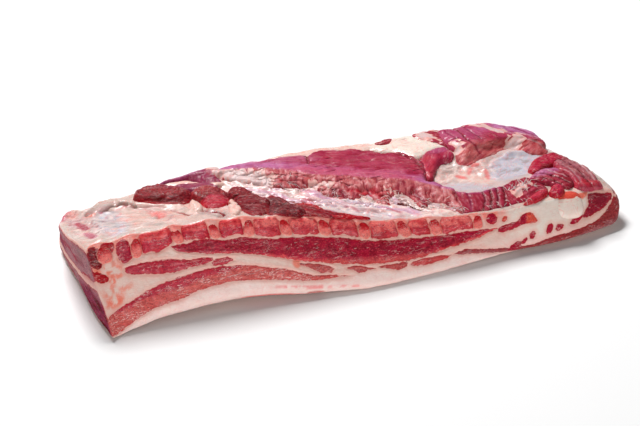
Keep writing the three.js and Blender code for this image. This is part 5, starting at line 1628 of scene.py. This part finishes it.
def fasciaThreads():
    paths, sizes = threadPaths()
    t = np.linspace(0, 1, thread["points"])
    on, normal = topHeightWithMuscles(paths[..., 0].ravel(), paths[..., 1].ravel())
    lift = (thread["lift"] * sizes[:, None] * (0.15 + np.sin(np.pi * t))).reshape(-1, 1)
    middle = (on + normal * lift).reshape(len(paths), thread["points"], 3)
    forward = np.gradient(middle, axis=1)
    forward /= np.linalg.norm(forward, axis=-1, keepdims=True)
    sideways = np.cross(forward, [0, 0, 1.0])
    sideways /= np.maximum(np.linalg.norm(sideways, axis=-1, keepdims=True), 1e-6)
    upward = np.cross(sideways, forward)
    radius = thread["radius"] * sizes[:, None] * (1 - thread["thinning"] * t ** 2)
    turn = np.arange(thread["sides"]) / thread["sides"] * 2 * np.pi
    ring = sideways[:, :, None] * np.cos(turn)[:, None] + upward[:, :, None] * np.sin(turn)[:, None]
    points = (middle[:, :, None] + ring * radius[:, :, None, None]).reshape(-1, 3)
    index = np.arange(len(points)).reshape(len(paths), thread["points"], thread["sides"])
    loop = np.concatenate([index, index[..., :1]], 2)
    faces = np.stack([loop[:, :-1, :-1], loop[:, 1:, :-1], loop[:, 1:, 1:], loop[:, :-1, 1:]], -1)
    ends = np.concatenate([index[:, 0], index[:, -1][:, ::-1]])
    count = len(points)
    values = {"lean": 5 * noise(points, 8, 91) - 8, "fleck": np.zeros(count), "gloss": np.full(count, 0.5)}
    colours = {"leanTone": flat((count,), "salmon"), "fatTone": flat((count,), "fascia")}
    piece = meshPiece("fasciaThreads", points, [faces.reshape(-1, 4), ends],
                      (values, colours, {"grain": points}), materials["membraneSkin"])
    finished(piece)


fasciaThreads()
print("threads laid")

# floor, light and camera
studio = {"floor": 0.9, "floorReach": 12.0, "floorRoughness": 0.9, "floorShine": 0.1, "world": 0.12,
          "camera": (-492.78, -1281.47, 851.96), "lens": 94.5, "azimuth": -20, "elevation": 31}
lamps = [  # name, power in watts, size in metres, place, aim
    ("overhead", 103, 1.0, (-0.3, 1.6, 2.3), (0, 0, 0)),
    ("frontFill", 32, 1.0, (-0.3, -2.6, 0.5), (0, 0, 0.03)),
    ("leftFill", 2, 1.0, (-1.9, -0.3, 0.8), (0, 0, 0.03)),
]


def aim(thing, target):
    thing.rotation_euler = (Vector(target) - thing.location).to_track_quat("-Z", "Y").to_euler()


def addFloor():
    mesh = bpy.data.meshes.new("paleTable")
    reach = studio["floorReach"]
    mesh.from_pydata([(-reach, -reach, 0), (reach, -reach, 0), (reach, reach, 0), (-reach, reach, 0)], [],
                     [(0, 1, 2, 3)])
    floor = bpy.data.objects.new("paleTable", mesh)
    bpy.context.scene.collection.objects.link(floor)
    material = bpy.data.materials.new("paleTable")
    material.use_nodes = True
    shader = material.node_tree.nodes["Principled BSDF"]
    shader.inputs["Base Color"].default_value = (studio["floor"],) * 3 + (1,)
    shader.inputs["Roughness"].default_value = studio["floorRoughness"]
    shader.inputs["Specular IOR Level"].default_value = studio["floorShine"]
    mesh.materials.append(material)


def addLamps():
    for name, power, size, at, target in lamps:
        data = bpy.data.lights.new(name, "AREA")
        data.energy = power
        data.size = size
        lamp = bpy.data.objects.new(name, data)
        bpy.context.scene.collection.objects.link(lamp)
        lamp.location = at
        aim(lamp, target)
    world = bpy.data.worlds.new("studioAir")
    world.use_nodes = True
    air = world.node_tree.nodes["Background"].inputs
    air["Color"].default_value = (1, 1, 1, 1)
    air["Strength"].default_value = studio["world"]
    bpy.context.scene.world = world


def addCamera():
    data = bpy.data.cameras.new("tableView")
    data.lens = studio["lens"]
    data.sensor_width = 36
    data.clip_start, data.clip_end = 0.05, 50
    camera = bpy.data.objects.new("tableView", data)
    camera.location = (np.array(studio["camera"]) + shift) * mm
    a, e = np.radians(studio["azimuth"]), np.radians(studio["elevation"])
    back = Vector((np.sin(a) * np.cos(e), -np.cos(a) * np.cos(e), np.sin(e)))
    camera.rotation_euler = (-back).to_track_quat("-Z", "Y").to_euler()
    bpy.context.scene.collection.objects.link(camera)
    bpy.context.scene.camera = camera


addFloor()
addLamps()
addCamera()
bpy.context.scene.view_settings.view_transform = "Standard"
print("stage set")
